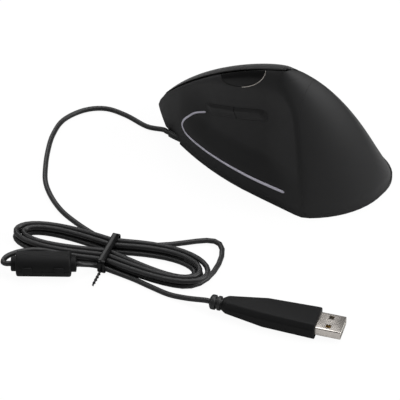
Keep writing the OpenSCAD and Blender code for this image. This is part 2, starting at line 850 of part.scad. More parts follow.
module button_board() {
    color(BOARD_GREEN) on_face() translate([0, 0, -board_depth - board_t])
        linear_extrude(board_t) difference() {
            translate([button_board_x[0], button_board_y[0]])
                square([button_board_x[1] - button_board_x[0], button_board_y[1] - button_board_y[0]]);
            square(board_slot, center = true);
            for (p = frame_spots) translate(p) circle(d = board_screw_d + pass, $fn = 48);
        }
}

// Snap switch with its plunger
module snap_switch(x) {
    on_face() translate([x, switch_y, -board_depth]) {
        translate([-switch_w/2, -switch_l/2, 0]) cube([switch_w, switch_l, switch_h]);
        translate([0, 0, switch_h - eps]) cylinder(d = plunger_d, h = plunger_h + eps, $fn = 32);
    }
}

module left_switch() {
    color(CHIP_BLACK) snap_switch(-switch_x);
}

module right_switch() {
    color(CHIP_BLACK) snap_switch(switch_x);
}

module tact_switch(w, h, stem_d, stem_h) {
    translate([-w/2, -w/2, 0]) cube([w, w, h]);
    translate([0, 0, h - eps]) cylinder(d = stem_d, h = stem_h + eps, $fn = 48);
}

// Switch under the front of the yoke
middle_w = 5;
middle_h = 3;
middle_stem_h = 0.8;
middle_stem_d = 2.6;
yoke_foot_z = -board_depth + middle_h + middle_stem_h + yoke_foot_gap - wheel_mid;

module middle_switch() {
    color(CHIP_BLACK) on_face() translate([0, yoke_front - yoke_bar/2, -board_depth])
        tact_switch(middle_w, middle_h, middle_stem_d, middle_stem_h);
}

// Light beam across the slots of the wheel
beam_w = 3.6;
beam_t = 3;
beam_over = 1.6;
beam_out = 2.4;
beam_h = board_depth + wheel_mid - slot_mid_r + beam_over;

module beam_part(s) {
    on_face() translate([s*(tyre_w/2 + beam_out) - beam_t/2, -beam_w/2, -board_depth])
        cube([beam_t, beam_w, beam_h]);
}

module beam_emitter() {
    color(CLEAR) beam_part(-1);
}

module beam_detector() {
    color(CHIP_BLACK) beam_part(1);
}

// Frame that carries the button board: columns and webs cut to the board's slope
frame_spots = [[-9.4, -21.2], [12, -20], [-3, 22.4], [12, 22.4]];
column_w = 4;
web_t = 2;
function face_point(p) = let (
    cx = [cos(face_turn)*cos(face_tilt), sin(face_turn)*cos(face_tilt), -sin(face_tilt)],
    cy = [-sin(face_turn), cos(face_turn), 0])
    face_at + p[0]*cx + p[1]*cy - (board_depth + board_t)*face_dir;
frame_feet = [for (p = frame_spots) face_point(p)];
frame_sill = 2;
frame_bore = 5;

module frame_web(a, b) {
    d = [b[0] - a[0], b[1] - a[1]];
    translate([a[0], a[1], base_top]) rotate(atan2(d[1], d[0])) translate([0, -web_t/2, 0])
        cube([norm(d), web_t, max(a[2], b[2])]);
}

module inner_frame() {
    color(NATURAL) difference() {
        union() {
            for (p = frame_feet) translate([p[0] - column_w/2, p[1] - column_w/2, base_top])
                cube([column_w, column_w, p[2] + margin]);
            frame_web(frame_feet[0], frame_feet[1]);
            frame_web(frame_feet[2], frame_feet[3]);
            intersection() {
                frame_web(frame_feet[0], frame_feet[2]);
                translate([-cut, -cut, base_top]) cube([2*cut, 2*cut, frame_sill]);
            }
        }
        on_face() translate([-cut, -cut, -board_depth - board_t]) cube([2*cut, 2*cut, cut]);
        on_face() for (p = frame_spots) translate([p[0], p[1], -board_depth - board_t - frame_bore])
            cylinder(d = board_screw_d + pilot, h = 2*frame_bore, $fn = 48);
    }
}

// Board and switches behind the thumb keys
module thumb_board() {
    color(BOARD_GREEN) at_keys() difference() {
        translate([thumb_board_x, -thumb_board_l/2, thumb_board_z[0]])
            cube([board_t, thumb_board_l, thumb_board_z[1] - thumb_board_z[0]]);
        for (s = thumb_spots) translate([thumb_board_x - 1, s[0], s[1]]) rotate([0, 90, 0])
            cylinder(d = board_screw_d + pass, h = board_t + 2, $fn = 48);
    }
}

module thumb_switches() {
    color(CHIP_BLACK) at_keys() for (side = [-1, 1])
        translate([thumb_board_x, side*(key_l + key_gap)/2, 0]) rotate([0, -90, 0])
            tact_switch(tact_w, tact_h, tact_stem_d, tact_stem_h);
}

module dpi_board() {
    color(BOARD_GREEN) at_moon() difference() {
        union() {
            translate([dpi_board_x, -dpi_board_l/2, dpi_board_z[0]])
                cube([dpi_board_t, dpi_board_l, dpi_board_z[1] - dpi_board_z[0]]);
            translate([dpi_board_x, -dpi_tab[0]/2, dpi_board_z[1] - eps])
                cube([dpi_board_t, dpi_tab[0], dpi_tab[1]]);
        }
        for (s = dpi_spots) translate([dpi_board_x - 1, s[0], s[1]]) rotate([0, 90, 0])
            cylinder(d = board_screw_d + pass, h = dpi_board_t + 2, $fn = 48);
    }
}

module dpi_switch() {
    color(CHIP_BLACK) at_moon() translate([dpi_board_x, 0, 0]) rotate([0, -90, 0])
        tact_switch(low_tact_w, low_tact_h - low_stem_h, low_stem_d, low_stem_h);
}

// Main board with the motion sensor over its window
lens_l = 19;
lens_w = 15;
lens_t = 2;
lens_cup_d = 6;
lens_clear = 0.4;
board_window_d = 7;
chip_l = 12.6;
chip_w = 9;
chip_h = 3.2;
controller_spot = [-7.25, -7];
controller_size = [10, 6.4, 2];
lamp_out = 11;
lamp_w = 5;
lamp_h = 1.6;
lamp_d = 3;
header_size = [10, 6, 5];
header_wall = 0.8;
header_floor = 1;
header_spot = [6 - main_l/2, 15];
soft_r = 0.5;

header_at = main_at + header_spot;

module main_board() {
    color(BOARD_GREEN) translate([main_at[0], main_at[1], main_z]) difference() {
        slab(main_l, main_w, board_t, foot_r);
        translate([sensor_at[0] - main_at[0], sensor_at[1] - main_at[1], -1])
            cylinder(d = board_window_d, h = board_t + 2, $fn = 64);
        for (p = main_posts) translate([p[0], p[1], -1])
            cylinder(d = board_screw_d + pass, h = board_t + 2, $fn = 48);
    }
}

module sensor_chip() {
    color(CHIP_BLACK) translate([sensor_at[0], sensor_at[1], main_z + board_t])
        slab(chip_l, chip_w, chip_h, soft_r);
}

module controller_chip() {
    color(CHIP_BLACK)
        translate([main_at[0] + controller_spot[0], main_at[1] + controller_spot[1], main_z + board_t])
        slab(controller_size[0], controller_size[1], controller_size[2], soft_r);
}

module sensor_lens() {
    color(CLEAR) translate([sensor_at[0], sensor_at[1], base_top]) {
        slab(lens_l, lens_w, lens_t, soft_r);
        translate([0, 0, -base_t + lens_clear]) cylinder(d = lens_cup_d, h = base_t, $fn = 64);
    }
}

module sensor_lamp() {
    color(LAMP_RED) translate([sensor_at[0] + lamp_out, sensor_at[1], main_z + board_t]) {
        translate([-lamp_w/2, -lamp_w/2, 0]) cube([lamp_w, lamp_w, lamp_h]);
        translate([0, 0, lamp_h - eps]) cylinder(d = lamp_d, h = lamp_h, $fn = 48);
    }
}

module cable_header() {
    wells = [header_size[0] - 2*header_wall, header_size[1] - 2*header_wall, header_size[2]];
    color(NATURAL) translate([header_at[0], header_at[1], main_z + board_t]) difference() {
        translate([-header_size[0]/2, -header_size[1]/2, 0]) cube(header_size);
        translate([-wells[0]/2, -wells[1]/2, header_floor]) cube(wells);
    }
}

// Small screws that hold the boards
pan_d = 3.4;
pan_h = 1.2;
low_pan_h = 0.8;
pan_l = 4;
module board_screw(h, l) {
    cylinder(d = pan_d, h = h, $fn = 48);
    translate([0, 0, -l]) cylinder(d = board_screw_d, h = l + eps, $fn = 48);
}

module board_screws() {
    color(STEEL) {
        for (p = main_posts) translate([main_at[0] + p[0], main_at[1] + p[1], main_z + board_t])
            board_screw(pan_h, pan_l);
        on_face() for (p = frame_spots) translate([p[0], p[1], -board_depth]) board_screw(pan_h, pan_l);
        at_keys() for (s = thumb_spots) translate([thumb_board_x + board_t, s[0], s[1]]) rotate([0, 90, 0])
            board_screw(pan_h, pan_l);
        at_moon() for (s = dpi_spots) translate([dpi_board_x + dpi_board_t, s[0], s[1]]) rotate([0, 90, 0])
            board_screw(low_pan_h, pan_l);
    }
}

// Rubber grommet round the cord at the nose
module cord_grommet() {
    color(RUBBER) translate([exit_x, exit_y, exit_z]) rotate([-90, 0, 0]) difference() {
        union() {
            translate([0, 0, -grommet_in]) cylinder(d = grommet_d, h = grommet_in, $fn = 48);
            cylinder(d1 = grommet_d, d2 = cord_d + 2*grommet_lip, h = grommet_out, $fn = 48);
        }
        translate([0, 0, -cut/2]) cylinder(d = cord_d, h = cut, $fn = 48);
    }
}

// Tube swept along points, with flat ends
function along(p, i) = let (a = p[max(0, i - 1)], b = p[min(len(p) - 1, i + 1)]) (b - a)/norm(b - a);
module tube(p, d, sides) {
    n = len(p);
    rings = [for (i = [0:n - 1]) let (
        t = along(p, i),
        s = cross(t, [0, 0, 1])/norm(cross(t, [0, 0, 1])),
        u = cross(s, t))
        for (k = [0:sides - 1]) p[i] + d/2*(cos(360*(k + 0.5)/sides)*s + sin(360*(k + 0.5)/sides)*u)];
    walls = [for (i = [0:n - 2]) for (k = [0:sides - 1])
        let (a = i*sides + k, b = i*sides + (k + 1)%sides)
        each [[a, b, a + sides], [b, b + sides, a + sides]]];
    last = (n - 1)*sides;
    ends = [for (k = [1:sides - 2]) each [[0, k + 1, k], [last, last + k, last + k + 1]]];
    polyhedron(rings, concat(walls, ends));
}

// Smooth curve through hand-chosen points
function spline_point(p, i, t) = let (
    a = p[max(0, i - 1)], b = p[i], c = p[i + 1], d = p[min(len(p) - 1, i + 2)])
    b + t*(c - a)/2 + t*t*(a - 5*b/2 + 2*c - d/2) + t*t*t*((3*b - a - 3*c + d)/2);
function spline(p, steps) = concat(
    [for (i = [0:len(p) - 2]) for (k = [0:steps - 1]) spline_point(p, i, k/steps)], [p[len(p) - 1]]);

cord_z = 1.4;
cord_sides = 8;
hank_sides = 6;
hank_low = 2;

// Hank: loops drawn in at a waist, spiralling in on one layer and out on the next
hank_at = [-114, 14];
hank_dir = -70;
waist_in = 1.6;
swell_right = 11;
swell_left = 8;
hank_shift = -3;
first_far = 1.5;
first_lift = 40;
lift_from = -40;
lift_to = 70;
hank_hold = 0.58;
layer_rest = 0.05;
loop_rings = 24;
function hank_depth(n) = let (half = (hank_turns - hank_hold)/2) max(0, half - n, n - half - hank_hold);
function hank_layer(n) = let (half = (hank_turns - hank_hold)/2)
    ramp(half + layer_rest, half + hank_hold - layer_rest, n);
function hank_flat(n) = let (
    q = 90 - 360*n,
    c = cos(q),
    far = n < 0.5 ? pow(c, 3) : 0,
    swell = c > 0 ? swell_right : swell_left)
    [c*(hank_reach + hank_step*hank_depth(n)) + first_far*far,
     sin(q)*(waist_in + waist_step*hank_depth(n) + swell*abs(c)) + hank_shift*pow(max(0, c), 2)
     + first_lift*far*ramp(lift_from, lift_to, q)];
function hank_point(n) = let (
    f = hank_flat(n), ca = cos(hank_dir), sa = sin(hank_dir))
    [hank_at[0] + f[0]*ca - f[1]*sa, hank_at[1] + f[0]*sa + f[1]*ca, hank_low + hank_rise*hank_layer(n)];
hank_rings = round(loop_rings*hank_turns);
hank_curve = [for (i = [0:hank_rings]) hank_point(hank_turns*i/hank_rings)];
hank_start = hank_curve[0];
hank_end = hank_curve[hank_rings];
hank_in = -80;
hank_heading = [cos(hank_in), sin(hank_in), 0];
hank_path = concat([hank_start - cord_d*hank_heading], hank_curve,
    [hank_end + cord_d*along(hank_curve, hank_rings)]);

// Least gap between parts of the hank that are more than a third of a turn apart
function hank_gap() = min([for (i = [0:hank_rings]) for (j = [i + round(loop_rings/3):1:hank_rings])
    norm(hank_curve[i] - hank_curve[j])]) - cord_d;
echo(hank_least_gap = hank_gap());

// Cord from the board to the grommet, and from the grommet to the hank
grommet_face = exit_y + grommet_out;
header_face = [header_at[0], header_at[1] + header_size[1]/2, main_z + board_t + header_size[2]/2];
grommet_rear = exit_y - grommet_in;
inner_route = [header_face, header_face + [0, cord_d, 0], header_face + [0, 2*cord_d, 0], [-17, 10, 7],
    [-20, 24, 6], [exit_x, grommet_rear - 2*cord_d, exit_z], [exit_x, grommet_rear - cord_d, exit_z],
    [exit_x, grommet_rear, exit_z], [exit_x, grommet_face, exit_z]];
lead_route = [[exit_x, grommet_face, exit_z], [exit_x, grommet_face + cord_d, exit_z],
    [exit_x, grommet_face + 2*cord_d, exit_z], [-24, 64.5, 1.6],
    [-23, 79, cord_z], [-25, 91, cord_z], [-33, 99, cord_z], [-46, 102, cord_z], [-59, 98, cord_z],
    [-71, 91, cord_z], [-82, 83, cord_z], [-91, 75, cord_z], [-98, 65, cord_z], [-103, 54, cord_z],
    [-105.5, 43, cord_z], [-107, 32, 1.6], hank_path[0] - 2*cord_d*hank_heading,
    hank_path[0] - cord_d*hank_heading, hank_path[0]];

module cord_inner() {
    color(RUBBER) tube(spline(inner_route, 3), cord_d, cord_sides);
}

module cord_lead() {
    color(RUBBER) tube(spline(lead_route, 2), cord_d, cord_sides);
}

module cord_hank() {
    color(RUBBER) tube(hank_path, cord_d, hank_sides);
}

// Ferrite case with stepped collars
ferrite_at = [-142.5, 31];
ferrite_dir = -53;
ferrite_z = ferrite_d/2;
collar_l = 2.5;
collar_d = 7.4;
ferrite_end = ferrite_l/2 + collar_l;
seat = 3;
ferrite_wall = 1.4;
ferrite_bevel = 1;
core_gap = 0.1;
function ferrite_point(s) = [
    ferrite_at[0] + s*cos(ferrite_dir), ferrite_at[1] + s*sin(ferrite_dir), ferrite_z];

// Cord from the hank round into the ferrite, and from the ferrite to the plug
hank_tip = hank_path[len(hank_path) - 1];
bight_route = [hank_tip, hank_tip + cord_d*along(hank_curve, hank_rings), [-138, 42.5, 5.8],
    [-143.5, 46.5, 6], [-149, 48.5, 6], [-153, 47.5, 6], ferrite_point(-ferrite_end - cord_d),
    ferrite_point(-ferrite_end), ferrite_point(-ferrite_end + seat)];
plug_at = [-95, -95];
plug_dir = -69;
plug_z = grip_h/2;
relief_l = 6;
function plug_point(s) = [plug_at[0] + s*cos(plug_dir), plug_at[1] + s*sin(plug_dir), plug_z];
relief_end = grip_l + relief_l;
tail_route = [ferrite_point(ferrite_end - seat), ferrite_point(ferrite_end),
    ferrite_point(ferrite_end + cord_d), [-125.6, 12.7, 3.2],
    [-122.6, 4.2, 1.8], [-120.7, -6, cord_z], [-120, -16, cord_z], [-119, -26, cord_z], [-116.8, -35, 2.4],
    plug_point(-relief_end - cord_d), plug_point(-relief_end), plug_point(-relief_end + seat)];

module cord_bight() {
    color(RUBBER) tube(spline(bight_route, 3), cord_d, cord_sides);
}

module cord_tail() {
    color(RUBBER) tube(spline(tail_route, 2), cord_d, cord_sides);
}

module at_ferrite() {
    translate([ferrite_at[0], ferrite_at[1], ferrite_z]) rotate([0, 90, ferrite_dir]) children();
}

well_d = ferrite_d - 2*ferrite_wall;
well_l = ferrite_l - 2*ferrite_wall;
module ferrite_body() {
    rotate_extrude($fn = 96) polygon([
        [cord_d/2, -ferrite_end], [collar_d/2, -ferrite_end], [collar_d/2, -ferrite_l/2],
        [ferrite_d/2 - ferrite_bevel, -ferrite_l/2], [ferrite_d/2, -ferrite_l/2 + ferrite_bevel],
        [ferrite_d/2, ferrite_l/2 - ferrite_bevel], [ferrite_d/2 - ferrite_bevel, ferrite_l/2],
        [collar_d/2, ferrite_l/2], [collar_d/2, ferrite_end], [cord_d/2, ferrite_end],
        [cord_d/2, well_l/2], [well_d/2, well_l/2], [well_d/2, -well_l/2], [cord_d/2, -well_l/2]]);
}

module ferrite_half(s) {
    at_ferrite() intersection() {
        ferrite_body();
        translate([s > 0 ? -cut - joint_line/2 : joint_line/2, -cut/2, -cut/2]) cube(cut);
    }
}

module ferrite_upper() {
    color(SATIN_BLACK) ferrite_half(1);
}

module ferrite_lower() {
    color(SATIN_BLACK) ferrite_half(-1);
}

module ferrite_core() {
    color(FERRITE_GREY) at_ferrite() difference() {
        cylinder(d = well_d - 2*core_gap, h = well_l - 2*core_gap, center = true, $fn = 96);
        cylinder(d = cord_d + pass, h = ferrite_l, center = true, $fn = 48);
    }
}

// Tie round the waist of the hank, with its two ends twisted together
tie_t = 0.45;
tie_w = 3.6;
tie_gap = 0.5;
tie_low = 0.1;
tie_top = hank_low + hank_rise + cord_d/2 + tie_gap + tie_t;
tie_side = waist_in + waist_step*hank_depth(0) + cord_d/2 + tie_gap + tie_t;
tie_far = tie_side + cord_d;
tie_r = 1.8;
tie_tail = 11;
tie_turns = 2.5;
tie_wire = [1.7, 0.8];
tie_start = -40;

module twist_tie() {
    color(GLOSS_BLACK) translate([hank_at[0], hank_at[1], 0]) rotate([0, 0, hank_dir]) {
        translate([-tie_w/2, (tie_side - tie_far)/2, (tie_top + tie_low)/2]) rotate([90, 0, 90])
            linear_extrude(tie_w) difference() {
                round_rect(tie_side + tie_far, tie_top - tie_low, tie_r);
                round_rect(tie_side + tie_far - 2*tie_t, tie_top - tie_low - 2*tie_t, tie_r - tie_t);
            }
        translate([0, -tie_far + eps, tie_low + tie_r]) rotate([90, 0, 0]) rotate(tie_start)
            linear_extrude(tie_tail, twist = 360*tie_turns, slices = 30) square(tie_wire, center = true);
    }
}

// USB plug
module at_plug() {
    translate([plug_at[0], plug_at[1], plug_z]) rotate([0, 0, plug_dir]) children();
}

grip_back_w = 9.5;
grip_back_h = 7;
grip_chamfer = 2.2;
grip_step = 0.55;
grip_shoulder = 2;
module grip_section(w, h, c) {
    polygon([[-w/2 + c, -h/2], [w/2 - c, -h/2], [w/2, -h/2 + c], [w/2, h/2 - c],
        [w/2 - c, h/2], [-w/2 + c, h/2], [-w/2, h/2 - c], [-w/2, -h/2 + c]]);
}

module grip_slice(s, w, h, c) {
    translate([s, 0, 0]) rotate([90, 0, 90]) linear_extrude(eps) grip_section(w, h, c);
}

pocket_l = 9;
pocket_gap = 0.2;
module plug_grip() {
    color(SATIN_BLACK) at_plug() difference() {
        union() {
            hull() {
                grip_slice(-grip_l, grip_back_w, grip_back_h, grip_chamfer);
                grip_slice(-grip_l*grip_step, grip_w - grip_shoulder, grip_h, grip_chamfer);
            }
            hull() {
                grip_slice(-grip_l*grip_step, grip_w - grip_shoulder, grip_h, grip_chamfer);
                grip_slice(-eps, grip_w, grip_h, grip_chamfer);
            }
        }
        translate([-pocket_l, -shell_w/2, -shell_h/2]) cube([pocket_l + 1, shell_w, shell_h]);
    }
}

relief_steps = [[0, 0], [3.2, 0], [3.2, 1.5], [2.4, 1.5], [2.4, 2.6], [3, 2.6], [3, 4], [2.2, 4], [2.2, 5]];
relief_tip = 2;
module plug_relief() {
    color(RUBBER) at_plug() rotate([0, -90, 0]) translate([0, 0, grip_l]) rotate_extrude($fn = 64)
        polygon(concat(relief_steps, [[relief_tip, relief_l], [cord_d/2, relief_l],
            [cord_d/2, relief_l - seat], [0, relief_l - seat]]));
}

// Folded sheet-metal shell with its two latch holes on each broad side
hole_w = 2.5;
hole_from_tip = 6.4;
hole_apart = 6.2;
module plug_shell() {
    color(STEEL) at_plug() difference() {
        translate([-pocket_l + pocket_gap, -shell_w/2, -shell_h/2])
            cube([shell_l + pocket_l - pocket_gap, shell_w, shell_h]);
        translate([-pocket_l - 1, -shell_w/2 + shell_t, -shell_h/2 + shell_t])
            cube([shell_l + pocket_l + 2, shell_w - 2*shell_t, shell_h - 2*shell_t]);
        for (s = [-1, 1]) translate([shell_l - hole_from_tip, s*hole_apart/2, 0])
            cube([hole_w, hole_w, 2*shell_h], center = true);
    }
}

tongue_h = 1.9;
tongue_in = 0.6;
tongue_low = -shell_h/2 + shell_t;
module plug_tongue() {
    inner_w = shell_w - 2*shell_t - 2*foot_fit;
    color(NATURAL) at_plug() translate([-pocket_l + pocket_gap, -inner_w/2, tongue_low]) {
        cube([shell_l + pocket_l - pocket_gap - tongue_in, inner_w, tongue_h]);
        cube([pocket_l - pocket_gap - tongue_in, inner_w, shell_h - 2*shell_t]);
    }
}

contact_w = 1;
contact_l = 8;
contact_t = 0.2;
contact_in = 1.6;
contact_step = 2.2;
module plug_contacts() {
    color(BRASS) at_plug() for (i = [-1.5:1:1.5])
        translate([shell_l - contact_in - contact_l, i*contact_step - contact_w/2, tongue_low + tongue_h])
            cube([contact_l, contact_w, contact_t]);
}

base_plate();
thumb_cover();
palm_cover();
left_button();
right_button();
forward_button();
back_button();
dpi_button();
accent_strip();
wheel_hub();
wheel_tyre();
wheel_yoke();
yoke_posts();
inner_frame();
button_board();
left_switch();
right_switch();
middle_switch();
beam_emitter();
beam_detector();
thumb_board();
thumb_switches();
dpi_board();
dpi_switch();
main_board();
controller_chip();
sensor_chip();
sensor_lens();
sensor_lamp();
cable_header();
glide_feet();
case_screws();
board_screws();
cord_grommet();
cord_inner();
cord_lead();
cord_hank();
cord_bight();
cord_tail();
twist_tie();
ferrite_upper();
ferrite_lower();
ferrite_core();
plug_grip();
plug_relief();
plug_shell();
plug_tongue();
plug_contacts();
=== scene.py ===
"""Wired vertical mouse: shells, keys, wheel, hanked cord, ferrite and plug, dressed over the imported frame."""
import json
import logging
import math
from dataclasses import dataclass, field
from enum import Enum
from typing import Any, Callable, Sequence

import bmesh
import bpy
import numpy as np
from mathutils import Matrix, Vector


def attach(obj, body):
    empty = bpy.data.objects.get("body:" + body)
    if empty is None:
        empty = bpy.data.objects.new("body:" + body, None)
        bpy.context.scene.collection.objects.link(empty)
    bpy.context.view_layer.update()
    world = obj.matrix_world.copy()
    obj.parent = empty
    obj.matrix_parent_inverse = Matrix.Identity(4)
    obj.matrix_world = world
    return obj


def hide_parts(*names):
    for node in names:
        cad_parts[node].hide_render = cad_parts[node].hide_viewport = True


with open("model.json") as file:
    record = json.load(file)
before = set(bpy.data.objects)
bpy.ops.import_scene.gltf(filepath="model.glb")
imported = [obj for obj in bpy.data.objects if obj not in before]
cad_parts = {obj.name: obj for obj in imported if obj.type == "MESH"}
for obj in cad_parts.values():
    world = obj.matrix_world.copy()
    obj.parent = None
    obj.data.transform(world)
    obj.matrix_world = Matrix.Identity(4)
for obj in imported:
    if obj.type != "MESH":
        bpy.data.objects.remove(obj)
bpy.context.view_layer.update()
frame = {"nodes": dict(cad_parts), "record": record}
LOG = logging.getLogger("mouse")
MM = 0.001
CRISP = 40.0
CRISP_ROLLED = 50.0
CRISP_TURNED = 38.0
MERGE = 1e-7
FAR = 50.0
BOX_FACES = ((0, 1, 3, 2), (4, 6, 7, 5), (0, 4, 5, 1), (2, 3, 7, 6), (0, 2, 6, 4), (1, 5, 7, 3))
Array = np.ndarray
Colour = tuple[float, float, float]
Point = tuple[float, float, float]
Span = tuple[float, float]


class Body(Enum):
    """Bodies of the frame that pieces ride on."""

    CASE = "case"
    LEFT = "left_key"
    RIGHT = "right_key"
    WHEEL = "wheel"
    MOON = "dpi_key"
    FORWARD = "forward_key"
    BACK = "back_key"


class Grain(Enum):
    """Kinds of surface pattern that a finish can carry."""

    MOULDED = "moulded"
    POLISHED = "polished"
    BRUSHED = "brushed"
    BOARD = "board"


# Numbers and outlines

def mix(a: Any, b: Any, t: Any) -> Any:
    """Blend a into b by t."""
    return a + (b - a)*t


def ramp(a: float, b: Any, v: Any) -> Array:
    """Smooth step of v from a to b."""
    t = np.clip((v - a)/(b - a), 0, 1)
    return t*t*(3 - 2*t)


def ramp_from(at: Any, span: Span, v: Any) -> Array:
    """Smooth step of v over a span that is counted from a place."""
    return ramp(at + span[0], at + span[1], v)


def quarter(t: Any, n: Any) -> Array:
    """Height of a superelliptic quarter of fullness n at the share t of its base."""
    return np.maximum(0, 1 - np.clip(t, 0, 1)**n)**(1/n)


def soft_max(a: Array, b: Array, r: float) -> Array:
    """Larger of two values, blended over r."""
    h = np.maximum(0, r - np.abs(a - b))/r
    return np.maximum(a, b) + h*h*r/4


def soft_min(values: Sequence[Array], r: float) -> Array:
    """Smallest of several values, blended over r so that corners come out round."""
    best = values[0]
    for other in values[1:]:
        best = -soft_max(-best, -other, r)
    return best


def inside_by(points: Array, outline: Array) -> Array:
    """Distance of flat points to a closed outline.

    Args:
        points: places in the plane, last axis of length 2.
        outline: corners of the outline in order.

    Returns:
        The distance, positive inside.
    """
    px, py = points[..., 0], points[..., 1]
    best = np.full(px.shape, np.inf)
    inside = np.zeros(px.shape, bool)
    for a, b in zip(outline, np.roll(outline, -1, axis=0)):
        ab = b - a
        t = np.clip(((px - a[0])*ab[0] + (py - a[1])*ab[1])/max(ab @ ab, 1e-12), 0, 1)
        best = np.minimum(best, np.hypot(px - a[0] - t*ab[0], py - a[1] - t*ab[1]))
        if a[1] != b[1]:
            crosses = (a[1] > py) != (b[1] > py)
            inside ^= crosses & (px < ab[0]*(py - a[1])/ab[1] + a[0])
    return np.where(inside, best, -best)


def out_of_box(u: Array, v: Array, l: float, h: float, r: float) -> Array:
    """Distance outside a centred rectangle l by h with corners of radius r, negative inside."""
    du, dv = np.abs(u) - l/2 + r, np.abs(v) - h/2 + r
    return np.hypot(np.maximum(du, 0), np.maximum(dv, 0)) + np.minimum(np.maximum(du, dv), 0) - r


def smooth_route(points: Sequence[Sequence[float]], steps: int) -> Array:
    """Curve through given points, with the same formula as the solids' routes.

    Args:
        points: places in order.
        steps: number of pieces between two of them.

    Returns:
        The points of the curve.
    """
    p = np.asarray(points, float)
    out = []
    for i in range(len(p) - 1):
        a, b, c, d = p[max(0, i - 1)], p[i], p[i + 1], p[min(len(p) - 1, i + 2)]
        for t in np.arange(steps)/steps:
            out.append(b + t*(c - a)/2 + t*t*(a - 2.5*b + 2*c - d/2) + t**3*(3*b - a - 3*c + d)/2)
    return np.array(out + [p[-1]])


# Making meshes

def linked(name: str, data: Any) -> bpy.types.Object:
    """Make an object of some data and put it in the scene."""
    made = bpy.data.objects.new(name, data)
    bpy.context.scene.collection.objects.link(made)
    return made


def creased(mesh: bpy.types.Mesh, crisp: float) -> None:
    """Shade a mesh smooth, with the edges over an angle in degrees left sharp."""
    mesh.shade_smooth()
    mesh.set_sharp_from_angle(angle=math.radians(crisp))


def in_metres(place: Matrix) -> Matrix:
    """The same turn and shift, with the shift in metres."""
    lift = place.copy()
    lift.translation *= MM
    return lift


def object_of(name: str, points: Array, faces: Sequence[Sequence[int]], place: Matrix | None = None,
              crisp: float = CRISP) -> bpy.types.Object:
    """Make a mesh object from points in millimetres.

    Args:
        name: name of the piece.
        points: corners of the mesh.
        faces: corner numbers of each face.
        place: turn and shift of the mesh in the shared frame, in millimetres.
        crisp: angle in degrees over which an edge stays sharp.

    Returns:
        The object, with its place in its mesh.
    """
    mesh = bpy.data.meshes.new(name)
    mesh.from_pydata(np.asarray(points, float).tolist(), [], [list(map(int, f)) for f in faces])
    mesh.transform(Matrix.Scale(MM, 4) @ (place or Matrix.Identity(4)))
    creased(mesh, crisp)
    mesh.update()
    return linked(name, mesh)


def baked(source: bpy.types.Object) -> bpy.types.Object:
    """Turn an object and its modifiers into a plain mesh object of the same name; the source is used up."""
    bpy.context.view_layer.update()
    graph = bpy.context.evaluated_depsgraph_get()
    mesh = bpy.data.meshes.new_from_object(source.evaluated_get(graph))
    name = source.name
    bpy.data.objects.remove(source)
    mesh.name = name
    creased(mesh, CRISP)
    return linked(name, mesh)


def joined(name: str, pieces: Sequence[bpy.types.Object]) -> bpy.types.Object:
    """Put several meshes of one finish into one object."""
    shape = bmesh.new()
    for piece in pieces:
        shape.from_mesh(piece.data)
        bpy.data.objects.remove(piece)
    mesh = bpy.data.meshes.new(name)
    shape.to_mesh(mesh)
    shape.free()
    return linked(name, mesh)


def carved(piece: bpy.types.Object, cutter: bpy.types.Object) -> bpy.types.Object:
    """Cut one object out of another; both are used up, and a plain object is left."""
    cut = piece.modifiers.new("cut", "BOOLEAN")
    cut.object, cut.operation, cut.solver = cutter, "DIFFERENCE", "EXACT"
    made = baked(piece)
    bpy.data.objects.remove(cutter)
    return made


def mended(made: bpy.types.Object, merge: float = 0, crisp: float | None = None) -> bpy.types.Object:
    """Turn all faces of a closed mesh outwards.

    Args:
        made: object whose mesh is mended.
        merge: distance in metres under which corners become one, or 0 to merge none.
        crisp: angle in degrees over which an edge stays sharp, or None to leave the shading.

    Returns:
        The object.
    """
    shape = bmesh.new()
    shape.from_mesh(made.data)
    if merge:
        bmesh.ops.remove_doubles(shape, verts=shape.verts, dist=merge)
    bmesh.ops.recalc_face_normals(shape, faces=shape.faces)
    shape.to_mesh(made.data)
    shape.free()
    if crisp is not None:
        creased(made.data, crisp)
    return made


def rounded(name: str, points: Array, faces: Sequence[Sequence[int]], place: Matrix, width: float,
            steps: int = 2) -> bpy.types.Object:
    """Make a mesh object whose edges are all rolled over.

    Args:
        name: name of the piece.
        points: corners in millimetres.
        faces: corner numbers of each face.
        place: turn and shift in the shared frame.
        width: width of the rolled edge in millimetres.
        steps: faces across the rolled edge.

    Returns:
        The object.
    """
    made = object_of(name, points, faces)
    shape = bmesh.new()
    shape.from_mesh(made.data)
    bmesh.ops.recalc_face_normals(shape, faces=shape.faces)
    bmesh.ops.bevel(shape, geom=shape.edges[:], offset=width*MM, segments=steps, profile=0.5, affect="EDGES",
                    clamp_overlap=True)
    shape.to_mesh(made.data)
    shape.free()
    made.data.transform(in_metres(place))
    creased(made.data, CRISP_ROLLED)
    return made


def box_corners(x: Span, y: Span, z: Span) -> list[Point]:
    """Corners of a box between two places on each axis, in the order that BOX_FACES counts them."""
    return [(a, b, c) for a in x for b in y for c in z]


def loft_faces(rings: int, sides: int, closed: bool) -> list[list[int]]:
    """Faces between rings of corners that follow one another.

    Args:
        rings: number of rings.
        sides: corners of each ring.
        closed: whether the last ring joins the first; an open row of rings gets flat ends.

    Returns:
        Corner numbers of each face.
    """
    pairs = [(i*sides, (i + 1) % rings*sides) for i in range(rings if closed else rings - 1)]
    faces = [[a + k, b + k, b + (k + 1) % sides, a + (k + 1) % sides] for a, b in pairs for k in range(sides)]
    if not closed:
        faces += [list(range(sides)), [(rings - 1)*sides + k for k in reversed(range(sides))]]
    return faces


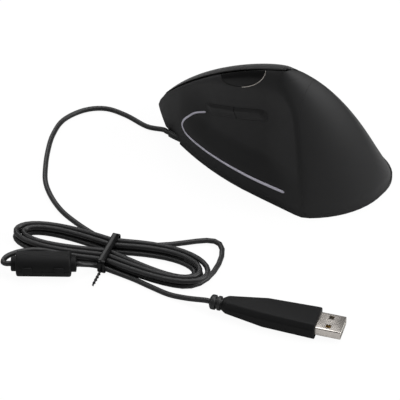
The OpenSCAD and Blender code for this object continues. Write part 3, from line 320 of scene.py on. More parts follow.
def turned(name: str, profile: Sequence[Sequence[float]], place: Matrix, sides: int, sweep: float = 360,
           start: float = 0) -> bpy.types.Object:
    """Turn a closed profile about the local Z axis.

    Args:
        name: name of the piece.
        profile: closed outline as (radius, height) pairs.
        place: turn and shift in the shared frame, in millimetres.
        sides: steps of the turn.
        sweep: angle of the turn in degrees; a part turn gets flat ends.
        start: angle at which the turn begins.

    Returns:
        The object.
    """
    whole = sweep >= 360
    rings = sides if whole else sides + 1
    points = [(r*math.cos(a), r*math.sin(a), h)
              for a in (math.radians(start + sweep*k/sides) for k in range(rings)) for r, h in profile]
    made = object_of(name, points, loft_faces(rings, len(profile), whole), place)
    return mended(made, MERGE, CRISP_TURNED)


def bent_edge(corner: Sequence[float], before: Sequence[float], after: Sequence[float], r: float,
              steps: int = 4) -> list[list[float]]:
    """Round one corner of a profile by r, as points on a short curve."""
    c, a, b = (np.asarray(v, float) for v in (corner, before, after))
    p, q = c + r*(a - c)/np.linalg.norm(a - c), c + r*(b - c)/np.linalg.norm(b - c)
    return [list((1 - t)**2*p + 2*t*(1 - t)*c + t*t*q) for t in np.linspace(0, 1, steps + 1)]


def soft_profile(corners: Sequence[tuple[float, float, float]]) -> list[list[float]]:
    """Closed profile from (radius, height, rounding) corners."""
    out: list[list[float]] = []
    n = len(corners)
    for i, (r, h, soft) in enumerate(corners):
        if soft:
            out += bent_edge((r, h), corners[i - 1][:2], corners[(i + 1) % n][:2], soft)
        else:
            out.append([r, h])
    return out


# Node trees

class Val:
    """One socket's value in a node tree, with the sums that finishes are written in."""

    def __init__(self, graph: "Graph", socket: bpy.types.NodeSocket) -> None:
        """Wrap an output socket of a graph."""
        self.graph, self.socket = graph, socket

    def _sum(self, operation: str, a: Any, b: Any) -> "Val":
        """Add one Math node to the graph."""
        return self.graph.node("ShaderNodeMath", {"operation": operation}, {0: a, 1: b})

    def __add__(self, other: Any) -> "Val":
        """Sum with a value."""
        return self._sum("ADD", self, other)

    def __radd__(self, other: Any) -> "Val":
        """Sum with a value on the left."""
        return self._sum("ADD", other, self)

    def __sub__(self, other: Any) -> "Val":
        """Difference with a value."""
        return self._sum("SUBTRACT", self, other)

    def __rsub__(self, other: Any) -> "Val":
        """Difference with a value on the left."""
        return self._sum("SUBTRACT", other, self)

    def __mul__(self, other: Any) -> "Val":
        """Product with a value."""
        return self._sum("MULTIPLY", self, other)

    def __rmul__(self, other: Any) -> "Val":
        """Product with a value on the left."""
        return self._sum("MULTIPLY", other, self)

    def over(self, level: float) -> "Val":
        """One where the value is above a level, else zero."""
        return self._sum("GREATER_THAN", self, level)


class Graph:
    """A node tree under construction."""

    def __init__(self, tree: bpy.types.NodeTree) -> None:
        """Start on a tree."""
        self.tree = tree

    def node(self, kind: str, settings: dict[str, Any] | None = None, inputs: dict[Any, Any] | None = None,
             out: int | str = 0) -> Val:
        """Add one node.

        Args:
            kind: type of the node.
            settings: properties, which are set first.
            inputs: values or links by socket name or number.
            out: output that is handed back.

        Returns:
            The chosen output.
        """
        made = self.tree.nodes.new(kind)
        for key, value in (settings or {}).items():
            setattr(made, key, value)
        for key, value in (inputs or {}).items():
            if isinstance(value, Val):
                self.tree.links.new(value.socket, made.inputs[key])
            else:
                made.inputs[key].default_value = value
        return Val(self, made.outputs[out]) if made.outputs else Val(self, made.inputs[0])


class Paint(Graph):
    """A material under construction."""

    def __init__(self, name: str) -> None:
        """Start a new material with an empty tree."""
        self.material = bpy.data.materials.new(name)
        self.material.use_nodes = True
        super().__init__(self.material.node_tree)
        self.tree.nodes.clear()
        self.place = self.node("ShaderNodeTexCoord", out="Object")

    def noise(self, size: float, detail: float = 2, rough: float = 0.5, stretch: Colour = (1, 1, 1)) -> Val:
        """Noise whose lumps measure about size millimetres."""
        where = self.node("ShaderNodeMapping", None, {"Vector": self.place, "Scale": stretch})
        return self.node("ShaderNodeTexNoise", None,
                         {"Vector": where, "Scale": 1/(size*MM), "Detail": detail, "Roughness": rough})

    def blend(self, share: Any, a: Any, b: Any) -> Val:
        """Mix two colours by a share."""
        return self.node("ShaderNodeMix", {"data_type": "RGBA"}, {0: share, 6: a, 7: b}, out=2)

    def close(self, shader: Val) -> bpy.types.Material:
        """Send a shader to the output and hand back the material."""
        self.node("ShaderNodeOutputMaterial", None, {"Surface": shader})
        return self.material


class Nodes(Graph):
    """A Geometry Nodes tree under construction."""

    def __init__(self, name: str, numbers: dict[str, float]) -> None:
        """Start a tree with a mesh, a material and named numbers coming in.

        Args:
            name: name of the tree.
            numbers: named inputs and their values.
        """
        tree = bpy.data.node_groups.new(name, "GeometryNodeTree")
        super().__init__(tree)
        face = tree.interface
        face.new_socket(name="Geometry", in_out="INPUT", socket_type="NodeSocketGeometry")
        self.keys = {"Material": face.new_socket(name="Material", in_out="INPUT",
                                                 socket_type="NodeSocketMaterial").identifier}
        for key, value in numbers.items():
            kind = "NodeSocketInt" if isinstance(value, int) else "NodeSocketFloat"
            self.keys[key] = face.new_socket(name=key, in_out="INPUT", socket_type=kind).identifier
        face.new_socket(name="Geometry", in_out="OUTPUT", socket_type="NodeSocketGeometry")
        self.numbers = numbers
        self.entry = tree.nodes.new("NodeGroupInput")

    def given(self, key: str) -> Val:
        """One of the tree's inputs."""
        return Val(self, self.entry.outputs[key])

    def set_on(self, points: Val, angle: Val) -> Val:
        """Set the incoming mesh on points, each turned about Z by an angle."""
        euler = self.node("ShaderNodeCombineXYZ", None, {"Z": angle})
        turn = self.node("FunctionNodeEulerToRotation", None, {"Euler": euler})
        return self.node("GeometryNodeInstanceOnPoints", None,
                         {"Points": points, "Instance": self.given("Geometry"), "Rotation": turn})

    def run(self, seed: bpy.types.Object, material: bpy.types.Material, result: Val) -> bpy.types.Object:
        """Finish the tree, run it on an object and keep the plain mesh.

        Args:
            seed: object whose mesh goes in; it is used up.
            material: material that is set.
            result: geometry at the end of the tree.

        Returns:
            The plain object.
        """
        real = self.node("GeometryNodeRealizeInstances", None, {"Geometry": result})
        dressed = self.node("GeometryNodeSetMaterial", None,
                            {"Geometry": real, "Material": self.given("Material")})
        self.node("NodeGroupOutput", None, {0: dressed})
        change = seed.modifiers.new(self.tree.name, "NODES")
        change.node_group = self.tree
        change[self.keys["Material"]] = material
        for key, value in self.numbers.items():
            change[self.keys[key]] = value
        return baked(seed)


def swept(name: str, path: Array, radius: float, sides: int,
          material: bpy.types.Material) -> bpy.types.Object:
    """Sweep a round section along a path.

    Args:
        name: name of the piece.
        path: points in millimetres.
        radius: radius of the section in millimetres.
        sides: sides of the section.
        material: material that is set.

    Returns:
        The object, with closed ends.
    """
    mesh = bpy.data.meshes.new(name)
    mesh.from_pydata((path*MM).tolist(), [(i, i + 1) for i in range(len(path) - 1)], [])
    seed = linked(name, mesh)
    tree = Nodes("round_sweep", {"Radius": radius*MM, "Sides": sides})
    line = tree.node("GeometryNodeMeshToCurve", None, {"Mesh": tree.given("Geometry")})
    ring = tree.node("GeometryNodeCurvePrimitiveCircle", None,
                     {"Resolution": tree.given("Sides"), "Radius": tree.given("Radius")})
    tube = tree.node("GeometryNodeCurveToMesh", None,
                     {"Curve": line, "Profile Curve": ring, "Fill Caps": True})
    return tree.run(seed, material, tube)


# Finishes

CLOUD_MM = 14
SCUFF_MM = 5
SPECK_MM = 0.5
SPECK_LEVEL = 0.74
SPECK_ROUGH = 0.08
LINE_MM = 0.25
LINE_STRETCH = (1, 1, 0.06)
LINE_ROUGH = 0.22
GRAIN_ROUGH = 0.1
TRACK_SCALE = 260.0
TRACK_GAP = 0.035
TRACK_SHARE = 0.8
TRACK_GLINT = 1.7
BUMP = 0.5


@dataclass(frozen=True)
class Finish:
    """One finish of the mouse, with the pattern that its real surface shows."""

    name: str
    colour: Colour
    rough: float
    metal: float = 0.0
    gloss: float = 0.5
    clear: float = 0.0
    grain: Grain = Grain.MOULDED
    grain_mm: float = 0.3
    grain_depth: float = 0.006
    mottle: float = 0.12
    scuff: float = 0.06

    def shade(self, share: float) -> tuple[float, ...]:
        """The colour, made lighter or darker by a share."""
        return tuple(min(1.0, c*share) for c in self.colour) + (1.0,)

    def material(self) -> bpy.types.Material:
        """Build the material of this finish."""
        paint = Paint(self.name)
        cloud = paint.noise(CLOUD_MM, 3)
        fine = paint.noise(self.grain_mm, 2, 0.6)
        depth = (1 - self.mottle/2) + cloud*self.mottle
        light, dark = self.shade(1 + self.mottle), self.shade(1 - self.mottle)
        colour = paint.blend(cloud, dark, light)
        rough = self.rough + (paint.noise(SCUFF_MM, 4) - 0.5)*self.scuff
        height = fine
        if self.grain is Grain.POLISHED:
            rough = rough + paint.noise(SPECK_MM, 1).over(SPECK_LEVEL)*SPECK_ROUGH
        elif self.grain is Grain.BRUSHED:
            lines = paint.noise(LINE_MM, 3, 0.6, LINE_STRETCH)
            rough = rough + (lines - 0.5)*LINE_ROUGH
            colour = paint.blend(lines, dark, light)
            height = lines
        elif self.grain is Grain.BOARD:
            tracks = paint.node("ShaderNodeTexBrick", {"offset": 0.37, "squash": 1.6},
                                {"Vector": paint.place, "Scale": TRACK_SCALE, "Mortar Size": TRACK_GAP,
                                 "Color1": dark, "Color2": light, "Mortar": self.shade(TRACK_GLINT)})
            colour = paint.blend(TRACK_SHARE, colour, tracks)
        else:
            rough = rough + (fine - 0.5)*GRAIN_ROUGH
        bump = paint.node("ShaderNodeBump", None,
                          {"Height": height*depth, "Strength": BUMP, "Distance": self.grain_depth*MM})
        return paint.close(paint.node("ShaderNodeBsdfPrincipled", None, {
            "Base Color": colour, "Roughness": rough, "Metallic": self.metal,
            "Specular IOR Level": self.gloss, "Transmission Weight": self.clear, "Normal": bump}))


FINISHES = {
    "shell_black": Finish("satin_shell", (0.0135, 0.0135, 0.014), 0.52, gloss=0.25),
    "case_black": Finish("matt_case", (0.006, 0.006, 0.0063), 0.55, gloss=0.16, grain_mm=0.4,
                         grain_depth=0.01),
    "gloss_black": Finish("polished_black", (0.003, 0.003, 0.0032), 0.2, gloss=0.2, grain=Grain.POLISHED,
                          grain_depth=0.001),
    "accent_silver": Finish("silver_trim", (0.62, 0.6, 0.7), 0.35, gloss=0.6, grain_mm=0.2, grain_depth=0.002,
                            mottle=0.05),
    "rubber_black": Finish("cord_jacket", (0.011, 0.011, 0.0115), 0.44, gloss=0.45, grain_mm=0.5,
                           grain_depth=0.012),
    "natural_plastic": Finish("natural_white", (0.72, 0.71, 0.66), 0.45),
    "glide_pad": Finish("glide_pad", (0.05, 0.05, 0.052), 0.35, mottle=0.2),
    "board_green": Finish("board_mask", (0.012, 0.1, 0.04), 0.3, gloss=0.5, grain=Grain.BOARD),
    "chip_black": Finish("chip_body", (0.02, 0.02, 0.021), 0.55, grain_mm=0.2, grain_depth=0.012),
    "clear_plastic": Finish("clear_lens", (0.9, 0.93, 0.96), 0.08, clear=0.9, grain=Grain.POLISHED,
                            mottle=0.02),
    "lamp_red": Finish("red_lamp", (0.55, 0.03, 0.02), 0.15, grain=Grain.POLISHED),
    "screw_steel": Finish("plated_steel", (0.63, 0.59, 0.55), 0.26, metal=1.0, grain=Grain.BRUSHED,
                          grain_depth=0.002, mottle=0.1),
    "ferrite_grey": Finish("sintered_grey", (0.05, 0.05, 0.052), 0.6, grain_mm=0.6, grain_depth=0.03),
    "contact_gold": Finish("plated_gold", (0.75, 0.52, 0.18), 0.24, metal=1.0, grain=Grain.BRUSHED,
                           grain_depth=0.001),
}


@dataclass
class Wardrobe:
    """Materials of the finishes, made once each, and the way that pieces get them."""

    made: dict[str, bpy.types.Material] = field(default_factory=dict)

    def get(self, slot: str) -> bpy.types.Material:
        """Material of a slot of the record."""
        if slot not in self.made:
            self.made[slot] = FINISHES[slot].material()
        return self.made[slot]

    def dress(self, piece: bpy.types.Object, slot: str, body: Body, *nodes: str) -> bpy.types.Object:
        """Give a piece its finish and its body, and hide the solids that it stands for.

        Args:
            piece: finished object.
            slot: material slot of the record.
            body: body that it rides on.
            nodes: solids that it replaces.

        Returns:
            The piece.
        """
        piece.data.materials.clear()
        piece.data.materials.append(self.get(slot))
        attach(piece, body.value)
        if nodes:
            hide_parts(*nodes)
        LOG.info("%s: %d faces on %s", piece.name, len(piece.data.polygons), body.value)
        return piece

    def dress_solids(self) -> None:
        """Give every solid of the frame the finish of its slot."""
        for part in frame["record"]["subparts"]:
            solid = frame["nodes"][part["node"]]
            for holder in solid.material_slots:
                holder.material = self.get(part["material_slot"])


# The moulded body

@dataclass(frozen=True)
class BodyForm:
    """Outer skin of the body as a formula over height and angle, in millimetres.

    A value named full is the fullness of a superelliptic curve, and a pair is a span or a place.
    """

    length: float = 124.5
    width: float = 68
    height: float = 74.8
    peak_back: float = 42
    ridge_in: float = 11
    ridge_full: float = 1.3
    ridge_wrap: float = 1
    wrap_turn: Span = (-7, 2)
    nose_in: float = 20
    nose_h: float = 13.5
    nose_tuck: float = 9
    nose_draw: float = 5
    nose_full: float = 2.6
    tuck_power: float = 1.6
    heel_h: float = 8
    heel_full: float = 1.38
    heel_in: float = 36
    heel_in_full: float = 2
    flare: float = 4
    flare_h: float = 26
    finger_y: float = 58
    finger_full: float = 1.36
    thumb_y: float = 46
    thumb_out: float = 8
    thumb_full: float = 1.4
    thumb_heel_full: float = 1.9
    thumb_arc: Span = (60, 300)
    side_full: float = 1.5
    face_full: Span = (1.4, 2.5)
    face_power: float = 1.3
    palm_full: Span = (2.0, 3.0)
    palm_power: float = 4
    lean: float = 7
    lean_power: float = 1.3
    turn_in: float = 0.0033
    turn_in_loss: float = 0.6
    turn_in_from: float = 50
    wall_blend: float = 2
    scoop_d: float = 5
    scoop_foot: Span = (9, 24)
    scoop_top: Span = (-4, 18)
    scoop_rear: Span = (20, 50)
    scoop_front: Span = (84, 106)
    base_top: float = 2.6
    lip_front: Span = (25.6, 34.4)
    lip_rise: float = 0.37
    crease: tuple[Span, ...] = ((19.5, 0), (23, 20), (27, 40), (29.8, 55), (31.5, 70))
    crease_end: float = 33
    crest_slope: float = 0.7
    past_nose: float = 5
    past_thumb: float = 15
    seam_steps: int = 40
    wheel_at: Span = (26, 32)
    probe: float = 0.5

    @property
    def rear(self) -> float:
        """Place of the heel."""
        return -self.length/2

    @property
    def left(self) -> float:
        """Place of the thumb edge."""
        return -self.width/2

    @property
    def peak(self) -> tuple[float, float]:
        """Plan place of the ridge's peak."""
        return self.left + self.ridge_in, self.rear + self.peak_back

    def lip_z(self, y: Array) -> Array:
        """Height of the line above the thumb keys."""
        return self.lip_front[1] + self.lip_rise*(self.lip_front[0] - y)

    def scoop(self, y: Array, z: Array) -> Array:
        """Depth of the thumb scoop."""
        lip = self.lip_z(y)
        return (self.scoop_d*ramp(*self.scoop_foot, z)*(1 - ramp_from(lip, self.scoop_top, z))
                * ramp_from(self.rear, self.scoop_rear, y)*(1 - ramp_from(self.rear, self.scoop_front, y)))

    def wall_x(self, y: Array, z: Array) -> Array:
        """Thumb wall before it is blended into the plan outline."""
        ahead = np.maximum(0, y - self.rear - self.turn_in_from)
        return (self.left + self.lean*(np.maximum(0, z)/self.height)**self.lean_power + self.scoop(y, z)
                + self.turn_in*(1 - self.turn_in_loss*z/self.height)*ahead**2)

    def extremes(self, z: Array) -> dict[str, Array]:
        """Extreme points of the plan outline at a height."""
        px, py = self.peak
        up = np.clip(z/self.height, 0, 1)
        tuck = np.maximum(0, 1 - z/self.nose_h)**self.tuck_power
        front = self.length/2
        ridge = quarter((z - self.nose_h)/(self.height - self.nose_h), self.ridge_full)
        heel = quarter((z - self.heel_h)/(self.height - self.heel_h), self.heel_full)
        return {
            "fy": np.where(z < self.nose_h, front - self.nose_tuck*tuck, mix(py, front, ridge)),
            "by": mix(py, self.rear, heel),
            "rx": (mix(px, -self.left - self.flare, quarter(up, self.finger_full))
                   + self.flare*(1 - np.minimum(1, z/self.flare_h))**2),
            "lx": mix(px, self.left - self.thumb_out, quarter(up, self.thumb_full)),
            "fx": mix(px, self.left + self.nose_in, 1 - up) - self.nose_draw*tuck,
            "bx": mix(px, self.left + self.heel_in, quarter(up, self.heel_in_full)),
            "ly": mix(py, self.rear + self.thumb_y, quarter(up, self.side_full)),
            "ry": mix(py, self.rear + self.finger_y, quarter(up, self.side_full)),
            "face": mix(*self.face_full, (1 - up)**self.face_power),
            "palm": mix(*self.palm_full, (1 - up)**self.palm_power),
        }

    def skin(self, z: Array, q: Array) -> Array:
        """Point of the skin.

        Args:
            z: heights.
            q: angles in degrees, 0 on the finger side and 90 at the nose.

        Returns:
            Places, last axis of length 3.
        """
        z, q = np.broadcast_arrays(np.asarray(z, float), np.asarray(q, float) % 360)
        e = self.extremes(z)
        c, s = np.cos(np.radians(q)), np.sin(np.radians(q))
        right, front = (q < 90) | (q >= 270), q < 180
        cx, cy = np.where(front, e["fx"], e["bx"]), np.where(right, e["ry"], e["ly"])
        a = np.where(right, e["rx"] - cx, cx - e["lx"])
        b = np.where(front, e["fy"] - cy, cy - e["by"])
        n = np.where(front, np.where(right, e["face"], self.nose_full),
                     np.where(right, e["palm"], self.thumb_heel_full))
        x = cx + a*np.sign(c)*np.abs(c)**(2/n)
        y = cy + b*np.sign(s)*np.abs(s)**(2/n)
        thumb = (q > self.thumb_arc[0]) & (q < self.thumb_arc[1])
        return np.stack([np.where(thumb, soft_max(x, self.wall_x(y, z), self.wall_blend), x), y, z], -1)

    def thumb_x(self, y: Array, z: Array) -> Array:
        """Thumb side of the skin over length and height."""
        e = self.extremes(z)
        ahead = mix(e["fx"], e["lx"], quarter((y - e["ly"])/(e["fy"] - e["ly"]), self.nose_full))
        behind = mix(e["bx"], e["lx"], quarter((e["ly"] - y)/(e["ly"] - e["by"]), self.thumb_heel_full))
        return soft_max(np.where(y > e["ly"], ahead, behind), self.wall_x(y, z), self.wall_blend)

    def finger_x(self, y: float, z: float) -> float:
        """Finger side of the skin over length and height."""
        e = {k: float(v) for k, v in self.extremes(np.asarray(z, float)).items()}
        if y > e["ry"]:
            return float(mix(e["fx"], e["rx"], quarter((y - e["ry"])/(e["fy"] - e["ry"]), e["face"])))
        return float(mix(e["bx"], e["rx"], quarter((e["ry"] - y)/(e["ry"] - e["by"]), e["palm"])))

    def ridge_z(self, y: Array) -> Array:
        """Height of the ridge over the length."""
        py, front = self.peak[1], self.length/2
        ahead = quarter((y - py)/(front - py), self.ridge_full)
        behind = quarter((py - y)/(py - self.rear), self.heel_full)
        return np.where(y > py, self.nose_h + (self.height - self.nose_h)*ahead,
                        self.heel_h + (self.height - self.heel_h)*behind)

    def face_frame(self) -> Matrix:
        """Frame on the finger face: x downhill, y forward along the face, z outward."""
        y, z = self.wheel_at
        h = self.probe
        dy = (self.finger_x(y + h, z) - self.finger_x(y - h, z))/(2*h)
        dz = (self.finger_x(y, z + h) - self.finger_x(y, z - h))/(2*h)
        out = Vector((1, -dy, -dz)).normalized()
        across = Vector((-out.y, out.x, 0)).normalized()
        down = across.cross(out)
        frame_of = Matrix((down, across, out)).transposed().to_4x4()
        frame_of.translation = (self.finger_x(y, z), y, z)
        return frame_of

    def under_ridge(self, y: Array, z: Array) -> Array:
        """Distance into the thumb cover's side outline, whose seams follow the ridge and the heel crease."""
        front = self.length/2
        ys = mix(self.rear + self.crease_end, front, np.arange(self.seam_steps + 1)/self.seam_steps)
        low = self.nose_h - self.ridge_wrap
        wrap = self.ridge_wrap*(2*ramp_from(self.peak[1], self.wrap_turn, ys) - 1)
        side = np.array([(self.rear + a, b) for a, b in self.crease] + list(zip(ys, self.ridge_z(ys) - wrap))
                        + [(front + self.past_nose, low), (front + self.past_nose, 0)])
        return inside_by(np.stack([y, z], -1), side)

    def thumb_region(self, p: Array) -> Array:
        """Distance into the region of the thumb cover."""
        zs = self.height*np.arange(self.seam_steps + 1)/self.seam_steps
        past = self.left - self.past_thumb
        split = np.array([(past, 0)] + list(zip(self.extremes(zs)["fx"], zs)) + [(past, self.height)])
        crest = self.extremes(self.ridge_z(p[..., 1]))["bx"]
        beside = np.where(p[..., 1] > self.peak[1], inside_by(p[..., [0, 2]], split),
                          self.crest_slope*(crest - p[..., 0]))
        return np.minimum(self.under_ridge(p[..., 1], p[..., 2]), beside)


@dataclass
class Panel:
    """Closed moulding cut out of a skin, with rolled edges and a wall behind it."""

    skin: Callable[[Array, Array], Array]
    reach: Callable[[Array], Array]
    rows: Array
    cols: Array
    wrap: bool = False
    roll: float = 0.3
    thick: float = 1.8
    outward: float = 1.0
    turns: int = 4
    probe: Span = (0.02, 0.05)
    least_slope: float = 0.25
    merge: float = 2e-6
    crisp: float = 60

    def _frame(self, a: Array, b: Array) -> tuple[Array, Array, Array]:
        """Place, outward normal and downhill step of the cut's distance at points of the skin."""
        ha, hb = self.probe
        p = self.skin(a, b)
        pa = (self.skin(a + ha, b) - self.skin(a - ha, b))/(2*ha)
        pb = (self.skin(a, b + hb) - self.skin(a, b - hb))/(2*hb)
        n = np.cross(pb, pa)*self.outward
        n /= np.maximum(np.linalg.norm(n, axis=-1, keepdims=True), 1e-9)
        da = (self.reach(self.skin(a + ha, b)) - self.reach(self.skin(a - ha, b)))/(2*ha)
        db = (self.reach(self.skin(a, b + hb)) - self.reach(self.skin(a, b - hb)))/(2*hb)
        aa, ab, bb = (pa*pa).sum(-1), (pa*pb).sum(-1), (pb*pb).sum(-1)
        det = np.maximum(aa*bb - ab*ab, 1e-12)
        ga, gb = (bb*da - ab*db)/det, (aa*db - ab*da)/det
        slope = np.maximum(da*ga + db*gb, self.least_slope)
        step = -(ga[..., None]*pa + gb[..., None]*pb)/slope[..., None]
        return p, n, step

    def build(self, name: str) -> bpy.types.Object:
        """Cut the panel and make its mesh.

        Args:
            name: name of the piece.

        Returns:
            The object, closed all round.
        """
        a, b = np.broadcast_arrays(self.rows, self.cols)
        f = self.reach(self.skin(a, b)) - self.roll
        rows, cols = a.shape
        spots: list[tuple[float, float]] = []
        number: dict[Any, int] = {}

        def spot(key: Any, at: tuple[float, float]) -> int:
            """Number of a corner, made on first use."""
            if key not in number:
                number[key] = len(spots)
                spots.append(at)
            return number[key]

        faces: list[list[int]] = []
        live = f > 0
        for i in range(rows - 1):
            for j in range(cols if self.wrap else cols - 1):
                k = (j + 1) % cols
                ring = [(i, j), (i, k), (i + 1, k), (i + 1, j)]
                on = [live[c] for c in ring]
                if not any(on):
                    continue
                turn = 360.0 if self.wrap and k == 0 else 0.0
                at = [(a[c], b[c] + (turn if c[1] == 0 and j else 0.0)) for c in ring]
                loop: list[int] = []
                for m in range(4):
                    c, d = ring[m], ring[(m + 1) % 4]
                    if on[m]:
                        loop.append(spot(c, (a[c], b[c])))
                    if on[m] != on[(m + 1) % 4]:
                        t = f[c]/(f[c] - f[d])
                        here, there = at[m], at[(m + 1) % 4]
                        cross = (mix(here[0], there[0], t), mix(here[1], there[1], t))
                        loop.append(spot(tuple(sorted((c, d))), cross))
                if len(loop) > 2:
                    faces.append(loop)
        sa, sb = np.array(spots).T
        p, n, step = self._frame(sa, sb)
        return self._close(name, p, n, step, faces)

    def _close(self, name: str, p: Array, n: Array, step: Array, faces: list[list[int]]) -> bpy.types.Object:
        """Roll the edges of the cut skin, add the wall behind it and make the object."""
        once = {(u, v) for loop in faces for u, v in zip(loop, loop[1:] + loop[:1])}
        rim = [(u, v) for u, v in once if (v, u) not in once]
        edge = sorted({u for e in rim for u in e})
        place = {u: k for k, u in enumerate(edge)}
        e = np.array(edge)
        layers = [p]
        for k in range(1, self.turns + 1):
            t = math.pi/2*k/self.turns
            layers.append(p[e] + step[e]*self.roll*math.sin(t) - n[e]*self.roll*(1 - math.cos(t)))
        layers.append(p[e] + step[e]*self.roll - n[e]*self.thick)
        layers.append(p - n*self.thick)
        starts = np.cumsum([0] + [len(layer) for layer in layers])

        def at(layer: int, u: int) -> int:
            """Number of a corner in one layer."""
            return int(starts[layer] + (u if layer in (0, len(layers) - 1) else place[u]))

        solid = list(faces)
        for u, v in rim:
            for k in range(len(layers) - 1):
                solid.append([at(k, v), at(k, u), at(k + 1, u), at(k + 1, v)])
        solid += [[at(len(layers) - 1, u) for u in reversed(loop)] for loop in faces]
        return mended(object_of(name, np.concatenate(layers), solid), self.merge, self.crisp)


@dataclass
class Housing:
    """Covers and keys that are all cut from the body form."""

    form: BodyForm
    wardrobe: Wardrobe
    levels: int = 132
    around: int = 520
    dense: int = 2880
    bend_weight: float = 3
    seam: float = 0.8
    joint_line: float = 0.01
    cover_wall: float = 0.5
    cover_roll: float = 0.06
    cover_soft: float = 0.4
    key: Point = (20, 6, 2.2)
    key_gap: float = 1
    key_slit: float = 0.3
    key_fit: float = 0.1
    key_drop: float = 0.6
    key_proud: float = 1.15
    key_roll: float = 0.1
    key_wall: float = 2.2
    key_net: tuple[int, int] = (31, 91)
    brow_base: float = 0.05
    brow_rise: float = 0.85
    brow_top: float = 0.72
    brow_foot: float = 0.6
    brow_sink: float = 0.8
    brow_fade: float = 4
    moon: Span = (30, 6.6)
    moon_y: float = 2
    moon_sunk: float = 0.25
    moon_lift: float = 0.45
    moon_soft: float = 0.1
    moon_above: float = 1.2
    moon_roll: float = 0.2
    moon_wall: float = 0.7
    moon_net: tuple[int, int] = (40, 121)
    moon_sides: int = 96
    # painted highlight: radius, arc and net of the bright bead that stands for the light caught on the half
    # moon's glossy rim
    highlight_bead_r: float = 0.22
    highlight_bead_arc: Span = (185, 276)
    highlight_bead_net: tuple[int, int] = (48, 12)
    main_back: float = 35.5
    main_low: float = 15
    main_high: float = -90
    main_corner: float = 32.6
    main_roll: float = 0.2
    main_soft: float = 0.6
    slot: Point = (8.8, 21.45, 3)
    slot_depth: float = 25
    strip_w: float = 1.5
    strip_proud: float = 0.25
    strip_tuck: float = 0.05
    strip_root: float = 0.9
    strip_thin: float = 0.72
    strip_taper: Span = (45, 5)
    strip_end: float = 0.7
    strip_least: float = 0.04
    strip_net: tuple[int, int] = (10, 9)
    strip_z: float = 10
    strip_route: tuple[Span, ...] = (
        (32, 0.6), (46, 0), (59, 0), (73, 0), (86, 0), (95, 0.4), (99.5, 1.3), (102, 3.4), (102.3, 5.7),
        (101, 8.6), (98.5, 11.6), (94.5, 15.4), (88.3, 18.4))

    def __post_init__(self) -> None:
        """Work out the frames that the seams are drawn in."""
        form = self.form
        self.face = form.face_frame()
        self.key_turn = math.atan(form.lip_rise)
        mid = form.lip_front[0] - (self.key[0] + self.key_gap/2)*math.cos(self.key_turn)
        self.key_at = np.array([mid, float(form.lip_z(mid)) - self.key[1]/2 - self.key_drop])
        rise = form.ridge_z(self.moon_y + np.array([-1, 0, 1])*self.moon[0]/2)
        self.moon_turn = math.atan((rise[2] - rise[0])/self.moon[0])
        self.moon_at = np.array([self.moon_y, rise[1] - form.ridge_wrap - self.seam/2])
        arc = np.linspace(0, 2*math.pi, self.moon_sides + 1)[:-1]
        self.moon_oval = np.stack([self.moon[0]/2*np.cos(arc), self.moon[1]*np.sin(arc)], -1)
        inner = np.array(self.face.inverted())
        self.to_face = (inner[:3, :3], inner[:3, 3])
        self.grid = self._grid()

    def _grid(self) -> tuple[Array, Array]:
        """Heights and angles of a net over the whole skin, closer where the skin bends."""
        base, top = self.form.base_top, self.form.height
        z = base + (top - base)*np.sin(np.linspace(0, math.pi/2, self.levels))
        dense = np.linspace(0, 360, self.dense + 1)
        rows = []
        for level in z[:-1]:
            p = self.form.skin(level, dense)[:, :2]
            d = np.diff(p, axis=0)
            turn = np.abs(np.angle(np.exp(1j*np.diff(np.arctan2(d[:, 1], d[:, 0]), prepend=0))))
            turn[0] = 0
            length = np.linalg.norm(d, axis=1)
            cover = np.concatenate([[0], np.cumsum(length + self.bend_weight*turn*(length > 0))])
            rows.append(np.interp(np.linspace(0, cover[-1], self.around + 1)[:-1], cover, dense))
        rows.append(rows[-1])
        return z[:, None], np.array(rows)

    def on_face(self, p: Array) -> Array:
        """Points in the frame of the finger face."""
        return p @ self.to_face[0].T + self.to_face[1]

    def key_plane(self, y: Array, z: Array) -> tuple[Array, Array]:
        """Places along and across the row of thumb keys."""
        dy, dz = y - self.key_at[0], z - self.key_at[1]
        c, s = math.cos(self.key_turn), math.sin(self.key_turn)
        return dy*c - dz*s, dy*s + dz*c

    def moon_plane(self, y: Array, z: Array) -> Array:
        """Places in the plane of the half-moon key."""
        dy, dz = y - self.moon_at[0], z - self.moon_at[1]
        c, s = math.cos(self.moon_turn), math.sin(self.moon_turn)
        return np.stack([dy*c + dz*s, -dy*s + dz*c], -1)

    def from_moon(self, u: Array, v: Array) -> tuple[Array, Array]:
        """Length and height of places in the plane of the half-moon key."""
        c, s = math.cos(self.moon_turn), math.sin(self.moon_turn)
        return self.moon_at[0] + u*c - v*s, self.moon_at[1] + u*s + v*c

    def on_wall(self, y: Array, z: Array, proud: Any) -> Array:
        """Points that stand proud of the thumb wall by a distance."""
        return np.stack([self.form.thumb_x(y, z) - proud, y, z], -1)

    def in_moon(self, y: Array, z: Array, lift: float) -> Array:
        """Distance into the half moon, which reaches lift above the seam along the ridge."""
        oval = inside_by(self.moon_plane(y, z), self.moon_oval)
        seam = self.form.under_ridge(y, z) - self.seam/2 + lift
        return soft_min([oval, seam], self.moon_soft)

    def in_thumb_cover(self, p: Array) -> Array:
        """Distance into the thumb cover."""
        u, v = self.key_plane(p[..., 1], p[..., 2])
        row = out_of_box(u, v, 2*self.key[0] + self.key_gap, self.key[1], self.key[2]) - self.key_fit
        moon = -self.in_moon(p[..., 1], p[..., 2], self.seam) - self.key_fit
        on_wall = p[..., 0] < 0
        return soft_min([self.form.thumb_region(p) - self.joint_line/2, np.where(on_wall, row, FAR),
                         np.where(on_wall, moon, FAR), p[..., 2] - self.form.base_top], self.cover_soft)

